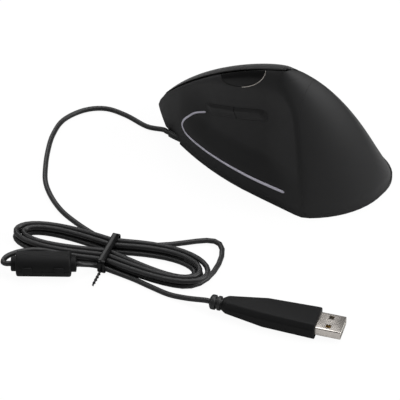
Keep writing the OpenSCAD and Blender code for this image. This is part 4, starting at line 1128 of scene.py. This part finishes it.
    def in_palm_cover(self, p: Array) -> Array:
        """Distance into the palm cover."""
        q = self.on_face(p)
        s = self.seam/2
        behind = np.minimum(q[..., 1] + self.main_back, p[..., 1] - self.form.rear - self.main_corner)
        keys = np.minimum(np.minimum(self.main_low + s - q[..., 0], behind + s),
                          p[..., 2] - (self.form.nose_h - self.form.ridge_wrap - s))
        return soft_min([-(self.form.thumb_region(p) + self.joint_line/2), -keys,
                         p[..., 2] - self.form.base_top], self.cover_soft)

    def in_main_key(self, p: Array, low: float, high: float, beside: float) -> Array:
        """Distance into a main key between two lines beside the wheel, kept clear of the thumb cover."""
        q = self.on_face(p)
        s = self.seam/2
        slot = out_of_box(q[..., 0], q[..., 1], *self.slot)
        return soft_min([q[..., 0] - low, high - q[..., 0], q[..., 1] + self.main_back - s,
                         p[..., 1] - self.form.rear - self.main_corner - s,
                         p[..., 2] - (self.form.nose_h - self.form.ridge_wrap + s),
                         -(self.form.thumb_region(p) + beside),
                         np.where(q[..., 2] > -self.slot_depth, slot, FAR)], self.main_soft)

    def cover(self, name: str, reach: Callable[[Array], Array], roll: float) -> bpy.types.Object:
        """Cut one large moulding out of the whole skin."""
        z, q = self.grid
        return Panel(self.form.skin, reach, z, q, True, roll, self.cover_wall).build(name)

    def thumb_key(self, side: int, name: str) -> bpy.types.Object:
        """One thumb key with its brow along the upper edge."""
        l, h, r = self.key[0] + (self.key_gap - self.key_slit)/2, self.key[1], self.key[2]
        mid = side*(l + self.key_slit)/2
        c, s = math.cos(self.key_turn), math.sin(self.key_turn)

        def skin(v: Array, u: Array) -> Array:
            """Place on the key."""
            along = mid + u
            y, z = self.key_at[0] + along*c + v*s, self.key_at[1] - along*s + v*c
            t = v/h + 0.5
            brow = (self.brow_base + self.brow_rise*ramp(1, self.brow_top, t)
                    - self.brow_sink*ramp(self.brow_foot, 0, t))
            return self.on_wall(y, z, self.key_proud*brow*ramp(0, self.brow_fade, l/2 - side*u))

        def reach(p: Array) -> Array:
            """Distance into the key's outline."""
            u, v = self.key_plane(p[..., 1], p[..., 2])
            row = -out_of_box(u, v, 2*self.key[0] + self.key_gap, h, r)
            return np.minimum(row, side*u - self.key_slit/2)

        v = np.linspace(-h/2, h/2, self.key_net[0])[:, None]
        u = np.linspace(-l/2, l/2, self.key_net[1])[None, :]
        return Panel(skin, reach, v, u, roll=self.key_roll, thick=self.key_wall, outward=-1.0).build(name)

    def moon_key(self, name: str) -> bpy.types.Object:
        """Half-moon key, set a little below the wall."""
        w, h = self.moon

        def skin(v: Array, u: Array) -> Array:
            """Place on the key."""
            return self.on_wall(*self.from_moon(u, v), -self.moon_sunk)

        def reach(p: Array) -> Array:
            """Distance into the key's outline."""
            return self.in_moon(p[..., 1], p[..., 2], self.moon_lift*self.seam)

        v = np.linspace(-h, self.moon_above, self.moon_net[0])[:, None]
        u = np.linspace(-w/2, w/2, self.moon_net[1])[None, :]
        return Panel(skin, reach, v, u, roll=self.moon_roll, thick=self.moon_wall, outward=-1.0).build(name)

    def rim_highlight_bead(self, name: str) -> bpy.types.Object:
        """Bright steel bead round the rear foot of the half moon: a painted highlight that stands for the light
        caught on the moon's glossy rim.
        """
        points, sides = self.highlight_bead_net
        arc = np.radians(np.linspace(*self.highlight_bead_arc, points))
        u, v = (self.moon[0]/2 + self.key_fit)*np.cos(arc), (self.moon[1] + self.key_fit)*np.sin(arc)
        path = self.on_wall(*self.from_moon(u, v), self.highlight_bead_r/4)
        return swept(name, path, self.highlight_bead_r, sides, self.wardrobe.get("screw_steel"))

    def strip(self, name: str) -> bpy.types.Object:
        """Accent strip laid along the foot of the scoop, with a crowned face and round ends."""
        steps, across = self.strip_net
        path = smooth_route([(self.form.rear + y, self.strip_z + z) for y, z in self.strip_route], steps)
        run = np.gradient(path, axis=0)
        run /= np.linalg.norm(run, axis=1, keepdims=True)
        side = np.stack([-run[:, 1], run[:, 0]], -1)
        gone = np.concatenate([[0], np.cumsum(np.linalg.norm(np.diff(path, axis=0), axis=1))])
        end = np.minimum(1, np.minimum(gone, gone[-1] - gone)/self.strip_end)
        taper = mix(self.strip_thin, 1, ramp(*self.strip_taper, gone))
        half = self.strip_w/2*taper*np.sqrt(np.clip(1 - (1 - end)**2, self.strip_least, 1))
        rows = [(t, self.strip_proud*math.sqrt(max(0.0, 1 - t**4)) - self.strip_tuck*(abs(t) == 1))
                for t in np.linspace(-1, 1, across)]
        ring = []
        for t, proud in rows + [(1, -self.strip_root), (-1, -self.strip_root)]:
            yz = path + side*(half*t)[:, None]
            ring.append(self.on_wall(yz[:, 0], yz[:, 1], proud))
        points = np.stack(ring, 1).reshape(-1, 3)
        return mended(object_of(name, points, loft_faces(len(path), len(ring), False), crisp=CRISP_ROLLED))

    def build(self) -> None:
        """Make and dress the covers, the keys and the strip."""
        dress, s = self.wardrobe.dress, self.seam/2
        covers = (
            ("thumb_shell", self.in_thumb_cover, self.cover_roll, Body.CASE, "thumb_cover"),
            ("palm_shell", self.in_palm_cover, self.cover_roll, Body.CASE, "palm_cover"),
            ("left_key_cap", lambda p: self.in_main_key(p, self.main_high, -s, s), self.main_roll, Body.LEFT,
             "left_button"),
            ("right_key_cap", lambda p: self.in_main_key(p, s, self.main_low - s, 2*s), self.main_roll,
             Body.RIGHT, "right_button"))
        for name, reach, roll, body, node in covers:
            dress(self.cover(name, reach, roll), "shell_black", body, node)
        dress(self.thumb_key(1, "forward_key_cap"), "shell_black", Body.FORWARD, "forward_button")
        dress(self.thumb_key(-1, "back_key_cap"), "shell_black", Body.BACK, "back_button")
        dress(self.moon_key("moon_key_cap"), "gloss_black", Body.MOON, "dpi_button")
        # painted highlight: a bright steel bead where the half moon's glossy rim catches the light
        dress(self.rim_highlight_bead("moon_rim_highlight"), "screw_steel", Body.CASE)
        dress(self.strip("trim_strip"), "accent_silver", Body.CASE, "accent_strip")


# Cord, ferrite, plug and tie

@dataclass(frozen=True)
class Axis:
    """Level line that a stretch of the cord or a piece on it lies along, in millimetres and degrees."""

    at: Point
    turn: float

    def point(self, s: float) -> list[float]:
        """Place at a distance along the line."""
        a = math.radians(self.turn)
        return [self.at[0] + s*math.cos(a), self.at[1] + s*math.sin(a), self.at[2]]

    def frame(self) -> Matrix:
        """Frame with X along the line and Z up."""
        return Matrix.Translation(self.at) @ Matrix.Rotation(math.radians(self.turn), 4, "Z")


@dataclass
class Cord:
    """Cord from the nose through the tied hank and the ferrite to the plug, in millimetres."""

    wardrobe: Wardrobe
    d: float = 2.6
    sides: int = 20
    steps: int = 5
    turns: float = 4.58
    turn_steps: int = 48
    reach: float = 43.5
    tip_step: float = 3.9
    waist: float = 1.6
    waist_step: float = 3.35
    swell: Span = (11, 8)
    pinch: float = 3
    first_out: float = 1.5
    first_side: float = 40
    first_arc: Span = (-40, 70)
    rise: float = 3.2
    hold: float = 0.58
    ease: float = 0.05
    low: float = 2.0
    hank_line: Axis = Axis((-114, 14, 0), -70)
    hank_in: float = -80
    exit: Point = (-22, 50.25, 2.6)
    ferrite_line: Axis = Axis((-142.5, 31, 6.1), -53)
    ferrite_end: float = 15.5
    plug_line: Axis = Axis((-95, -95, 4.5), -69)
    plug_in: float = 10
    relief_end: float = 52
    seat: float = 3
    inner_via: tuple[Point, ...] = (
        (-12, -9, 11.1), (-12, -6.4, 11.1), (-12, -3.8, 11.1), (-17, 10, 7), (-20, 24, 6), (-22, 37.55, 2.6),
        (-22, 40.15, 2.6), (-22, 42.75, 2.6))
    lead_via: tuple[Point, ...] = (
        (-24, 64.5, 1.6), (-23, 79, 1.4), (-25, 91, 1.4), (-33, 99, 1.4), (-46, 102, 1.4), (-59, 98, 1.4),
        (-71, 91, 1.4), (-82, 83, 1.4), (-91, 75, 1.4), (-98, 65, 1.4), (-103, 54, 1.4), (-105.5, 43, 1.4),
        (-107, 32, 1.6))
    bight_via: tuple[Point, ...] = (
        (-138, 42.5, 5.8), (-143.5, 46.5, 6), (-149, 48.5, 6), (-153, 47.5, 6))
    tail_via: tuple[Point, ...] = (
        (-125.6, 12.7, 3.2), (-122.6, 4.2, 1.8), (-120.7, -6, 1.4), (-120, -16, 1.4), (-119, -26, 1.4),
        (-116.8, -35, 2.4))

    def hank(self) -> Array:
        """Points of the hank, which spirals in on one layer and out on the next."""
        n = np.linspace(0, self.turns, round(self.turn_steps*self.turns) + 1)
        half = (self.turns - self.hold)/2
        depth = np.maximum(0, np.maximum(half - n, n - half - self.hold))
        layer = ramp(half + self.ease, half + self.hold - self.ease, n)
        q = 90 - 360*n
        c, s = np.cos(np.radians(q)), np.sin(np.radians(q))
        first = np.where(n < 0.5, c**3, 0)
        u = c*(self.reach + self.tip_step*depth) + self.first_out*first
        v = (s*(self.waist + self.waist_step*depth + np.where(c > 0, *self.swell)*np.abs(c))
             - self.pinch*np.maximum(0, c)**2 + self.first_side*first*ramp(*self.first_arc, q))
        x, y, _ = self.hank_line.at
        a = math.radians(self.hank_line.turn)
        return np.column_stack([x + u*math.cos(a) - v*math.sin(a), y + u*math.sin(a) + v*math.cos(a),
                                self.low + self.rise*layer])

    def route(self) -> Array:
        """Centreline of the whole cord."""
        d, hank = self.d, self.hank()
        x, y, z = self.exit
        turn = math.radians(self.hank_in)
        into = np.array([math.cos(turn), math.sin(turn), 0])
        away = (hank[-1] - hank[-2])/np.linalg.norm(hank[-1] - hank[-2])
        ferrite, plug = self.ferrite_line.point, self.plug_line.point
        e, r, seat = self.ferrite_end, self.relief_end, self.seat
        lead = smooth_route([(x, y, z), (x, y + d, z), (x, y + 2*d, z), *self.lead_via, hank[0] - 3*d*into,
                             hank[0] - 2*d*into, hank[0] - d*into], self.steps)
        bight = smooth_route([hank[-1] + d*away, hank[-1] + 2*d*away, *self.bight_via, ferrite(-e - d),
                              ferrite(-e), ferrite(-e + seat)], self.steps)
        tail = smooth_route([ferrite(e - seat), ferrite(e), ferrite(e + d), *self.tail_via, plug(-r - d),
                             plug(-r), plug(-r + seat), plug(-r + seat + self.plug_in)], self.steps)
        return np.concatenate([lead, hank, bight, tail])

    def tube(self, name: str, path: Array) -> bpy.types.Object:
        """Sweep the round jacket along a path."""
        return swept(name, path, self.d/2, self.sides, self.wardrobe.get("rubber_black"))

    def build(self, pieces: Sequence[bpy.types.Object]) -> None:
        """Args:
            pieces: separate pieces on the cord; not used.
        """
        path = self.route()
        inner = smooth_route([*self.inner_via, self.exit], self.steps)
        cord = self.wardrobe.dress(self.tube("lead_cord", path), "rubber_black", Body.CASE, "cord_lead",
                                   "cord_hank", "cord_bight", "cord_tail")
        self.wardrobe.dress(self.tube("inner_lead", inner), "rubber_black", Body.CASE, "cord_inner")
        tuple(v*MM for v in self.exit)
        list(pieces)


@dataclass
class Ferrite:
    """Clamp-on ferrite: two snapped halves with stepped collars, round the cord."""

    cord: Cord
    wardrobe: Wardrobe
    l: float = 26
    d: float = 12.2
    collar_l: float = 2.5
    collar_d: float = 7.4
    wall: float = 1.4
    line: float = 0.2
    end_soft: float = 0.5
    step_soft: float = 0.15
    edge_soft: float = 1.0
    sides: int = 40
    tab_at: float = 7.5
    tab_half: float = 2.2
    tab_x: Span = (-2.4, 1.6)
    tab_out: Span = (-0.5, 0.35)
    tab_soft: float = 0.25

    def place(self) -> Matrix:
        """Frame with Z along the ferrite and X down."""
        return self.cord.ferrite_line.frame() @ Matrix.Rotation(math.pi/2, 4, "Y")

    def half(self, name: str, up: bool) -> bpy.types.Object:
        """One half of the case, the upper one with its latch tabs."""
        h, e = self.l/2, self.l/2 + self.collar_l
        r, c, b = self.d/2, self.collar_d/2, self.cord.d/2
        well, deep = r - self.wall, h - self.wall
        outer = [(c, -e, self.end_soft), (c, -h, self.step_soft), (r, -h, self.edge_soft)]
        other = [(x, -z, soft) for x, z, soft in reversed(outer)]
        profile = soft_profile([(b, -e, 0), *outer, *other, (b, e, 0), (b, deep, 0), (well, deep, 0),
                                (well, -deep, 0), (b, -deep, 0)])
        gap = math.degrees(math.asin(self.line/self.d))
        pieces = [turned(name, profile, self.place(), self.sides, 180 - 2*gap, (90 if up else 270) + gap)]
        for side, z in ((s, t*self.tab_at) for s in (-1, 1) for t in (-1, 1) if up):
            box = box_corners(self.tab_x, tuple(side*(r + out) for out in self.tab_out),
                              (z - self.tab_half, z + self.tab_half))
            pieces.append(rounded(f"{name}_tab", box, BOX_FACES, self.place(), self.tab_soft))
        return joined(name, pieces)

    def build(self) -> list[bpy.types.Object]:
        """Make and dress the halves."""
        dress = self.wardrobe.dress
        return [dress(self.half("ferrite_lid", True), "case_black", Body.CASE, "ferrite_upper"),
                dress(self.half("ferrite_tray", False), "case_black", Body.CASE, "ferrite_lower"),
                frame["nodes"]["ferrite_core"]]


@dataclass
class Plug:
    """Flat metal plug with its faceted grip and ribbed relief."""

    cord: Cord
    wardrobe: Wardrobe
    grip: Point = (46, 17, 9)
    back: Span = (9.5, 7)
    back_taper: Point = (2.4, 2.4, 1.8)
    waist: Span = (0.55, 2)
    chamfer: float = 2.2
    grip_soft: float = 0.55
    shell: Point = (12, 4.5, 12)
    shell_r: float = 0.7
    shell_root: float = 2.0
    sheet: float = 0.35
    least_r: float = 0.2
    mouth: Point = (0.12, 0.1, 0.08)
    latch_at: Span = (6.4, 3.1)
    latch_half: float = 1.25
    relief_l: float = 6
    relief_end: Span = (2.2, 0.3)
    relief_sides: int = 48
    ribs: tuple[Point, ...] = (
        (2.6, -0.6, 0), (2.6, 0.4, 0.2), (3.5, 0.4, 0.5), (3.5, 2.2, 0.5), (2.7, 2.2, 0.2), (2.7, 2.9, 0.2),
        (3.6, 2.9, 0.6), (3.6, 5.2, 0.6))

    def place(self) -> Matrix:
        """Frame with X along the plug and Z up."""
        return self.cord.plug_line.frame()

    def handle(self) -> bpy.types.Object:
        """Grip lofted through eight-sided sections."""
        l, w, h = self.grip
        c = self.chamfer
        taper_l, taper_w, taper_h = self.back_taper
        sections = ((-l, self.back[0] - taper_w, self.back[1] - taper_h), (taper_l - l, *self.back),
                    (-l*self.waist[0], w - self.waist[1], h), (0, w, h))
        points = []
        for s, sw, sh in sections:
            y, z = sw/2, sh/2
            points += [(s, -y + c, -z), (s, y - c, -z), (s, y, -z + c), (s, y, z - c), (s, y - c, z),
                       (s, -y + c, z), (s, -y, z - c), (s, -y, -z + c)]
        faces = loft_faces(len(sections), len(points)//len(sections), False)
        return rounded("plug_handle", points, faces, self.place(), self.grip_soft, steps=4)

    def metal(self) -> bpy.types.Object:
        """Folded shell with two latch holes on each broad side."""
        w, h, l = self.shell
        arc = [math.radians(a) for a in range(0, 91, 15)]
        corners = ((1, 1, 0), (-1, 1, math.pi/2), (-1, -1, math.pi), (1, -1, 1.5*math.pi))

        def ring(inset: float) -> list[Span]:
            """Rounded outline of the sheet."""
            r, y, z = max(self.shell_r - inset, self.least_r), w/2 - inset, h/2 - inset
            return [(sy*(y - r) + r*math.cos(a + q), sz*(z - r) + r*math.sin(a + q))
                    for sy, sz, q in corners for a in arc]

        back, outer, inner = self.mouth
        rows = [(-self.shell_root, 0.0), (l - back, 0.0), (l, outer), (l, self.sheet - inner),
                (l - back, self.sheet), (-self.shell_root, self.sheet)]
        loops = [[(s, y, z) for y, z in ring(inset)] for s, inset in rows]
        made = mended(object_of("plug_metal", [p for loop in loops for p in loop],
                                loft_faces(len(loops), len(loops[0]), True), self.place()))
        x, off = l - self.latch_at[0], self.latch_half
        for y in (-self.latch_at[1], self.latch_at[1]):
            box = box_corners((x - off, x + off), (y - off, y + off), (-h, h))
            made = carved(made, object_of("latch_cut", box, BOX_FACES, self.place()))
        return made

    def relief(self) -> bpy.types.Object:
        """Ribbed relief behind the grip."""
        bore, end = self.cord.d/2, self.relief_l
        r, soft = self.relief_end
        steps = [(bore, self.ribs[0][1], 0), *self.ribs, (r, end, soft), (bore, end, 0)]
        turn = self.place() @ Matrix.Rotation(-math.pi/2, 4, "Y") @ Matrix.Translation((0, 0, self.grip[0]))
        return turned("plug_collar", soft_profile(steps), turn, self.relief_sides)

    def build(self) -> list[bpy.types.Object]:
        """Make and dress the plug's pieces."""
        dress = self.wardrobe.dress
        return [dress(self.handle(), "case_black", Body.CASE, "plug_grip"),
                dress(self.metal(), "screw_steel", Body.CASE, "plug_shell"),
                dress(self.relief(), "rubber_black", Body.CASE, "plug_relief"),
                frame["nodes"]["plug_tongue"], frame["nodes"]["plug_contacts"]]


@dataclass
class Tie:
    """Flat tie round the waist of the hank, with its two ends twisted together."""

    cord: Cord
    wardrobe: Wardrobe
    width: float = 3.6
    thick: float = 0.45
    soft: float = 0.15
    gap: float = 0.5
    low: float = 0.1
    corner: float = 1.8
    corner_steps: int = 12
    tail: float = 11
    tail_in: float = 0.1
    tail_half: Span = (0.85, 0.4)
    tail_net: tuple[int, int] = (72, 12)
    tip_loss: float = 0.35
    tip_power: float = 8
    twists: float = 2.5
    twist_from: float = -40

    @property
    def near(self) -> float:
        """Reach of the band towards the mouse."""
        depth = (self.cord.turns - self.cord.hold)/2
        return self.cord.waist + self.cord.waist_step*depth + self.cord.d/2 + self.gap + self.thick

    @property
    def far(self) -> float:
        """Reach of the band away from the mouse, where its ends are twisted together."""
        return self.near + self.cord.d

    def section(self, inset: float) -> list[Span]:
        """Round-cornered section of the band, inset from its outside."""
        top = self.cord.low + self.cord.rise + self.cord.d/2 + self.gap + self.thick
        r = self.corner - inset
        y0, y1, z0, z1 = inset - self.far, self.near - inset, self.low + inset, top - inset
        corners = ((y1 - r, z1 - r, 0), (y0 + r, z1 - r, 90), (y0 + r, z0 + r, 180), (y1 - r, z0 + r, 270))
        turns = np.radians(np.linspace(0, 90, self.corner_steps + 1))
        return [(y + r*math.cos(math.radians(q) + a), z + r*math.sin(math.radians(q) + a))
                for y, z, q in corners for a in turns]

    def band(self, place: Matrix) -> bpy.types.Object:
        """Band with softly rounded edges."""
        w, t, soft = self.width/2, self.thick, self.soft
        rows = [(-w + soft, 0), (w - soft, 0), (w, soft), (w, t - soft), (w - soft, t), (-w + soft, t),
                (-w, t - soft), (-w, soft)]
        loops = [[(x, y, z) for y, z in self.section(inset)] for x, inset in rows]
        return object_of("tie_band", [p for loop in loops for p in loop],
                         loft_faces(len(loops), len(loops[0]), True), place)

    def twist(self, place: Matrix) -> bpy.types.Object:
        """Flat ends twisted together, a little thinner at the tip."""
        count, sides = self.tail_net
        points = []
        for t in (i/count for i in range(count + 1)):
            a = math.radians(self.twist_from) + 2*math.pi*self.twists*t
            size = 1 - self.tip_loss*t**self.tip_power
            for b in (2*math.pi*k/sides for k in range(sides)):
                u, v = self.tail_half[0]*math.cos(b)*size, self.tail_half[1]*math.sin(b)*size
                points.append((u*math.cos(a) - v*math.sin(a), -self.far - self.tail*t + self.tail_in,
                               self.low + self.corner + u*math.sin(a) + v*math.cos(a)))
        return object_of("tie_tail", points, loft_faces(count + 1, sides, False), place)

    def build(self) -> list[bpy.types.Object]:
        """Make and dress the band and its twisted tail."""
        place = self.cord.hank_line.frame()
        whole = mended(joined("hank_tie", [self.band(place), self.twist(place)]), crisp=CRISP_ROLLED)
        return [self.wardrobe.dress(whole, "gloss_black", Body.CASE, "twist_tie")]


# Wheel and screws

@dataclass
class Wheel:
    """Rubber tyre of the scroll wheel, with its ribs set round it."""

    form: BodyForm
    wardrobe: Wardrobe
    d: float = 23
    w: float = 7
    t: float = 2.6
    out: float = 3
    sides: int = 120
    shoulder: Span = (0.1, 0.9)
    soft: float = 0.4
    ribs: int = 30
    rib: float = 0.9
    rib_root: float = 0.3
    rib_soft: float = 0.22
    root_inset: float = 0.2
    crown_inset: float = 0.95

    def place(self) -> Matrix:
        """Frame with Z along the axle."""
        return (self.form.face_frame() @ Matrix.Translation((0, 0, self.out - self.d/2))
                @ Matrix.Rotation(math.pi/2, 4, "Y"))

    def band(self) -> bpy.types.Object:
        """Tyre below its ribs."""
        inner, low, h = self.d/2 - self.t, self.d/2 - self.rib, self.w/2
        step, edge = low - self.shoulder[0], h - self.shoulder[1]
        soft = self.soft
        profile = soft_profile([(inner, -h, 0), (step, -h, soft), (low, -edge, soft), (low, edge, soft),
                                (step, h, soft), (inner, h, 0)])
        return turned("wheel_band", profile, self.place(), self.sides)

    def tread(self) -> bpy.types.Object:
        """One rib, set all round the tyre."""
        r, h = self.d/2, self.w/2
        half = math.pi*r/self.ribs - self.rib/2
        ends = ((-self.rib_root, self.root_inset), (self.rib, self.crown_inset))
        box = [(x, y, z*(h - inset)) for x, inset in ends for y in (-half, half) for z in (-1, 1)]
        seed = rounded("wheel_ribs", box, BOX_FACES, Matrix.Identity(4), self.rib_soft)
        tree = Nodes("rib_ring", {"Count": self.ribs, "Radius": (r - self.rib)*MM})
        ring = tree.node("GeometryNodeMeshCircle", None,
                         {"Vertices": tree.given("Count"), "Radius": tree.given("Radius")})
        angle = tree.node("GeometryNodeInputIndex")*(2*math.pi/self.ribs)
        ribs = tree.run(seed, self.wardrobe.get("rubber_black"), tree.set_on(ring, angle))
        ribs.data.transform(in_metres(self.place()))
        return ribs

    def build(self) -> None:
        """Make and dress the tyre."""
        tyre = joined("wheel_tread", [self.band(), self.tread()])
        self.wardrobe.dress(tyre, "rubber_black", Body.WHEEL, "wheel_tyre")


@dataclass
class Underside:
    """Case screws set in the base."""

    wardrobe: Wardrobe
    spots: tuple[Span, ...] = ((-26, 18), (21, 30), (-28.6, -33), (24.5, -30))
    head_d: float = 5
    head_soft: float = 0.4
    shank_d: float = 2.6
    tip_soft: float = 0.3
    low: float = 0.5
    seat: float = 1.7
    length: float = 9
    sides: int = 40
    cross: Span = (1.5, 0.3)
    cross_z: Span = (0.2, 1.2)
    turn: float = 0.6

    def screw(self) -> bpy.types.Object:
        """One cross-head screw, standing at the origin."""
        r, s, tip = self.head_d/2, self.shank_d/2, self.seat + self.length
        profile = soft_profile([(0, self.low, 0), (r, self.low, self.head_soft), (r, self.seat, 0),
                                (s, self.seat, 0), (s, tip, self.tip_soft), (0, tip, 0)])
        made = turned("base_screws", profile, Matrix.Identity(4), self.sides)
        for x, y in (self.cross, self.cross[::-1]):
            box = box_corners((-x, x), (-y, y), self.cross_z)
            made = carved(made, object_of("cross_cut", box, BOX_FACES))
        return made

    def build(self) -> None:
        """Set the screw at every spot and dress the set."""
        tree = Nodes("screw_set", {"Count": len(self.spots), "Turn": self.turn})
        spread = tree.node("GeometryNodeMeshLine", None, {"Count": tree.given("Count")})
        index = tree.node("GeometryNodeInputIndex")
        x: Any = 0.0
        y: Any = 0.0
        for k, (sx, sy) in enumerate(self.spots):
            here = index.over(k - 0.5)*(1 - index.over(k + 0.5))
            x, y = x + here*(sx*MM), y + here*(sy*MM)
        where = tree.node("ShaderNodeCombineXYZ", None, {"X": x, "Y": y, "Z": 0.0})
        set_out = tree.node("GeometryNodeSetPosition", None, {"Geometry": spread, "Position": where})
        placed = tree.set_on(set_out, index*tree.given("Turn"))
        screws = tree.run(self.screw(), self.wardrobe.get("screw_steel"), placed)
        self.wardrobe.dress(screws, "screw_steel", Body.CASE, "case_screws")


# Camera, floor and light

@dataclass(frozen=True)
class Lamp:
    """One soft lamp, with its place and size in metres and its power in watts."""

    name: str
    place: Point
    size: Span
    power: float

    def hang(self, aim: Point) -> None:
        """Hang the lamp so that it points at a place."""
        data = bpy.data.lights.new(self.name, "AREA")
        data.shape, data.size, data.size_y, data.energy = "RECTANGLE", *self.size, self.power
        lamp = linked(self.name, data)
        lamp.location = self.place
        lamp.rotation_euler = (Vector(aim) - Vector(self.place)).to_track_quat("-Z", "Y").to_euler()


@dataclass
class Studio:
    """Camera, floor and soft lamps."""

    eye: Point = (-726.677, -519.456, 692.252)
    aim: Point = (-53.037, 6.849, 0)
    lens: float = 199.735
    sensor: float = 36
    clip: Span = (0.01, 20)
    floor_half: float = 3.0
    floor_grey: float = 0.6
    floor_glow: float = 1.05
    glow_share: float = 0.9
    room_light: float = 0.16
    lamp_aim: Point = (0, 0, 0.03)
    lamps: tuple[Lamp, ...] = (
        Lamp("top_lamp", (0.2, 0.0, 1.1), (0.9, 0.9), 8),
        Lamp("heel_lamp", (0.3, -0.9, 0.65), (0.6, 0.6), 8.5),
        Lamp("ridge_lamp", (0.5, 0.9, 0.7), (0.8, 0.5), 3),
        Lamp("brow_lamp", (-0.62, 0.52, 0.68), (0.4, 0.4), 1.2))

    def camera(self) -> None:
        """Set the camera at the photograph's viewing angle."""
        data = bpy.data.cameras.new("view")
        data.lens, data.sensor_width = self.lens, self.sensor
        data.clip_start, data.clip_end = self.clip
        view = linked("view", data)
        eye, aim = Vector(self.eye)*MM, Vector(self.aim)*MM
        view.location = eye
        view.rotation_euler = (aim - eye).to_track_quat("-Z", "Y").to_euler()
        bpy.context.scene.camera = view

    def floor(self) -> None:
        """Lay a pale floor that reads white to the camera and keeps a soft shadow."""
        paint = Paint("pale_floor")
        path = paint.tree.nodes.new("ShaderNodeLightPath")
        seen = Val(paint, path.outputs["Is Camera Ray"]) + Val(paint, path.outputs["Is Transmission Ray"])
        dull = paint.node("ShaderNodeBsdfDiffuse", None, {"Color": (*[self.floor_grey]*3, 1)})
        white = paint.node("ShaderNodeEmission", None, {"Color": (1, 1, 1, 1), "Strength": self.floor_glow})
        mixed = paint.node("ShaderNodeMixShader", None, {0: seen*self.glow_share, 1: dull, 2: white})
        size = self.floor_half
        mesh = bpy.data.meshes.new("floor")
        mesh.from_pydata([(-size, -size, 0), (size, -size, 0), (size, size, 0), (-size, size, 0)], [],
                         [(0, 1, 2, 3)])
        mesh.materials.append(paint.close(mixed))
        floor = linked("floor", mesh)

    def build(self) -> None:
        """Set up the floor and the light."""
        scene = bpy.context.scene
        scene.view_settings.view_transform = "Standard"
        self.floor()
        world = bpy.data.worlds.new("room")
        scene.world = world
        world.use_nodes = True
        room = world.node_tree.nodes["Background"].inputs
        room["Color"].default_value = (1, 1, 1, 1)
        room["Strength"].default_value = self.room_light
        for lamp in self.lamps:
            lamp.hang(self.lamp_aim)


def main() -> None:
    """Build the scene: camera and cord first, then the mouse and its light."""
    logging.basicConfig(level=logging.INFO, format="%(message)s")
    studio, wardrobe, form = Studio(), Wardrobe(), BodyForm()
    studio.camera()
    cord = Cord(wardrobe)
    cord.build(Tie(cord, wardrobe).build() + Ferrite(cord, wardrobe).build() + Plug(cord, wardrobe).build())
    Housing(form, wardrobe).build()
    Wheel(form, wardrobe).build()
    Underside(wardrobe).build()
    wardrobe.dress_solids()
    studio.build()


if __name__ == "__main__":
    main()
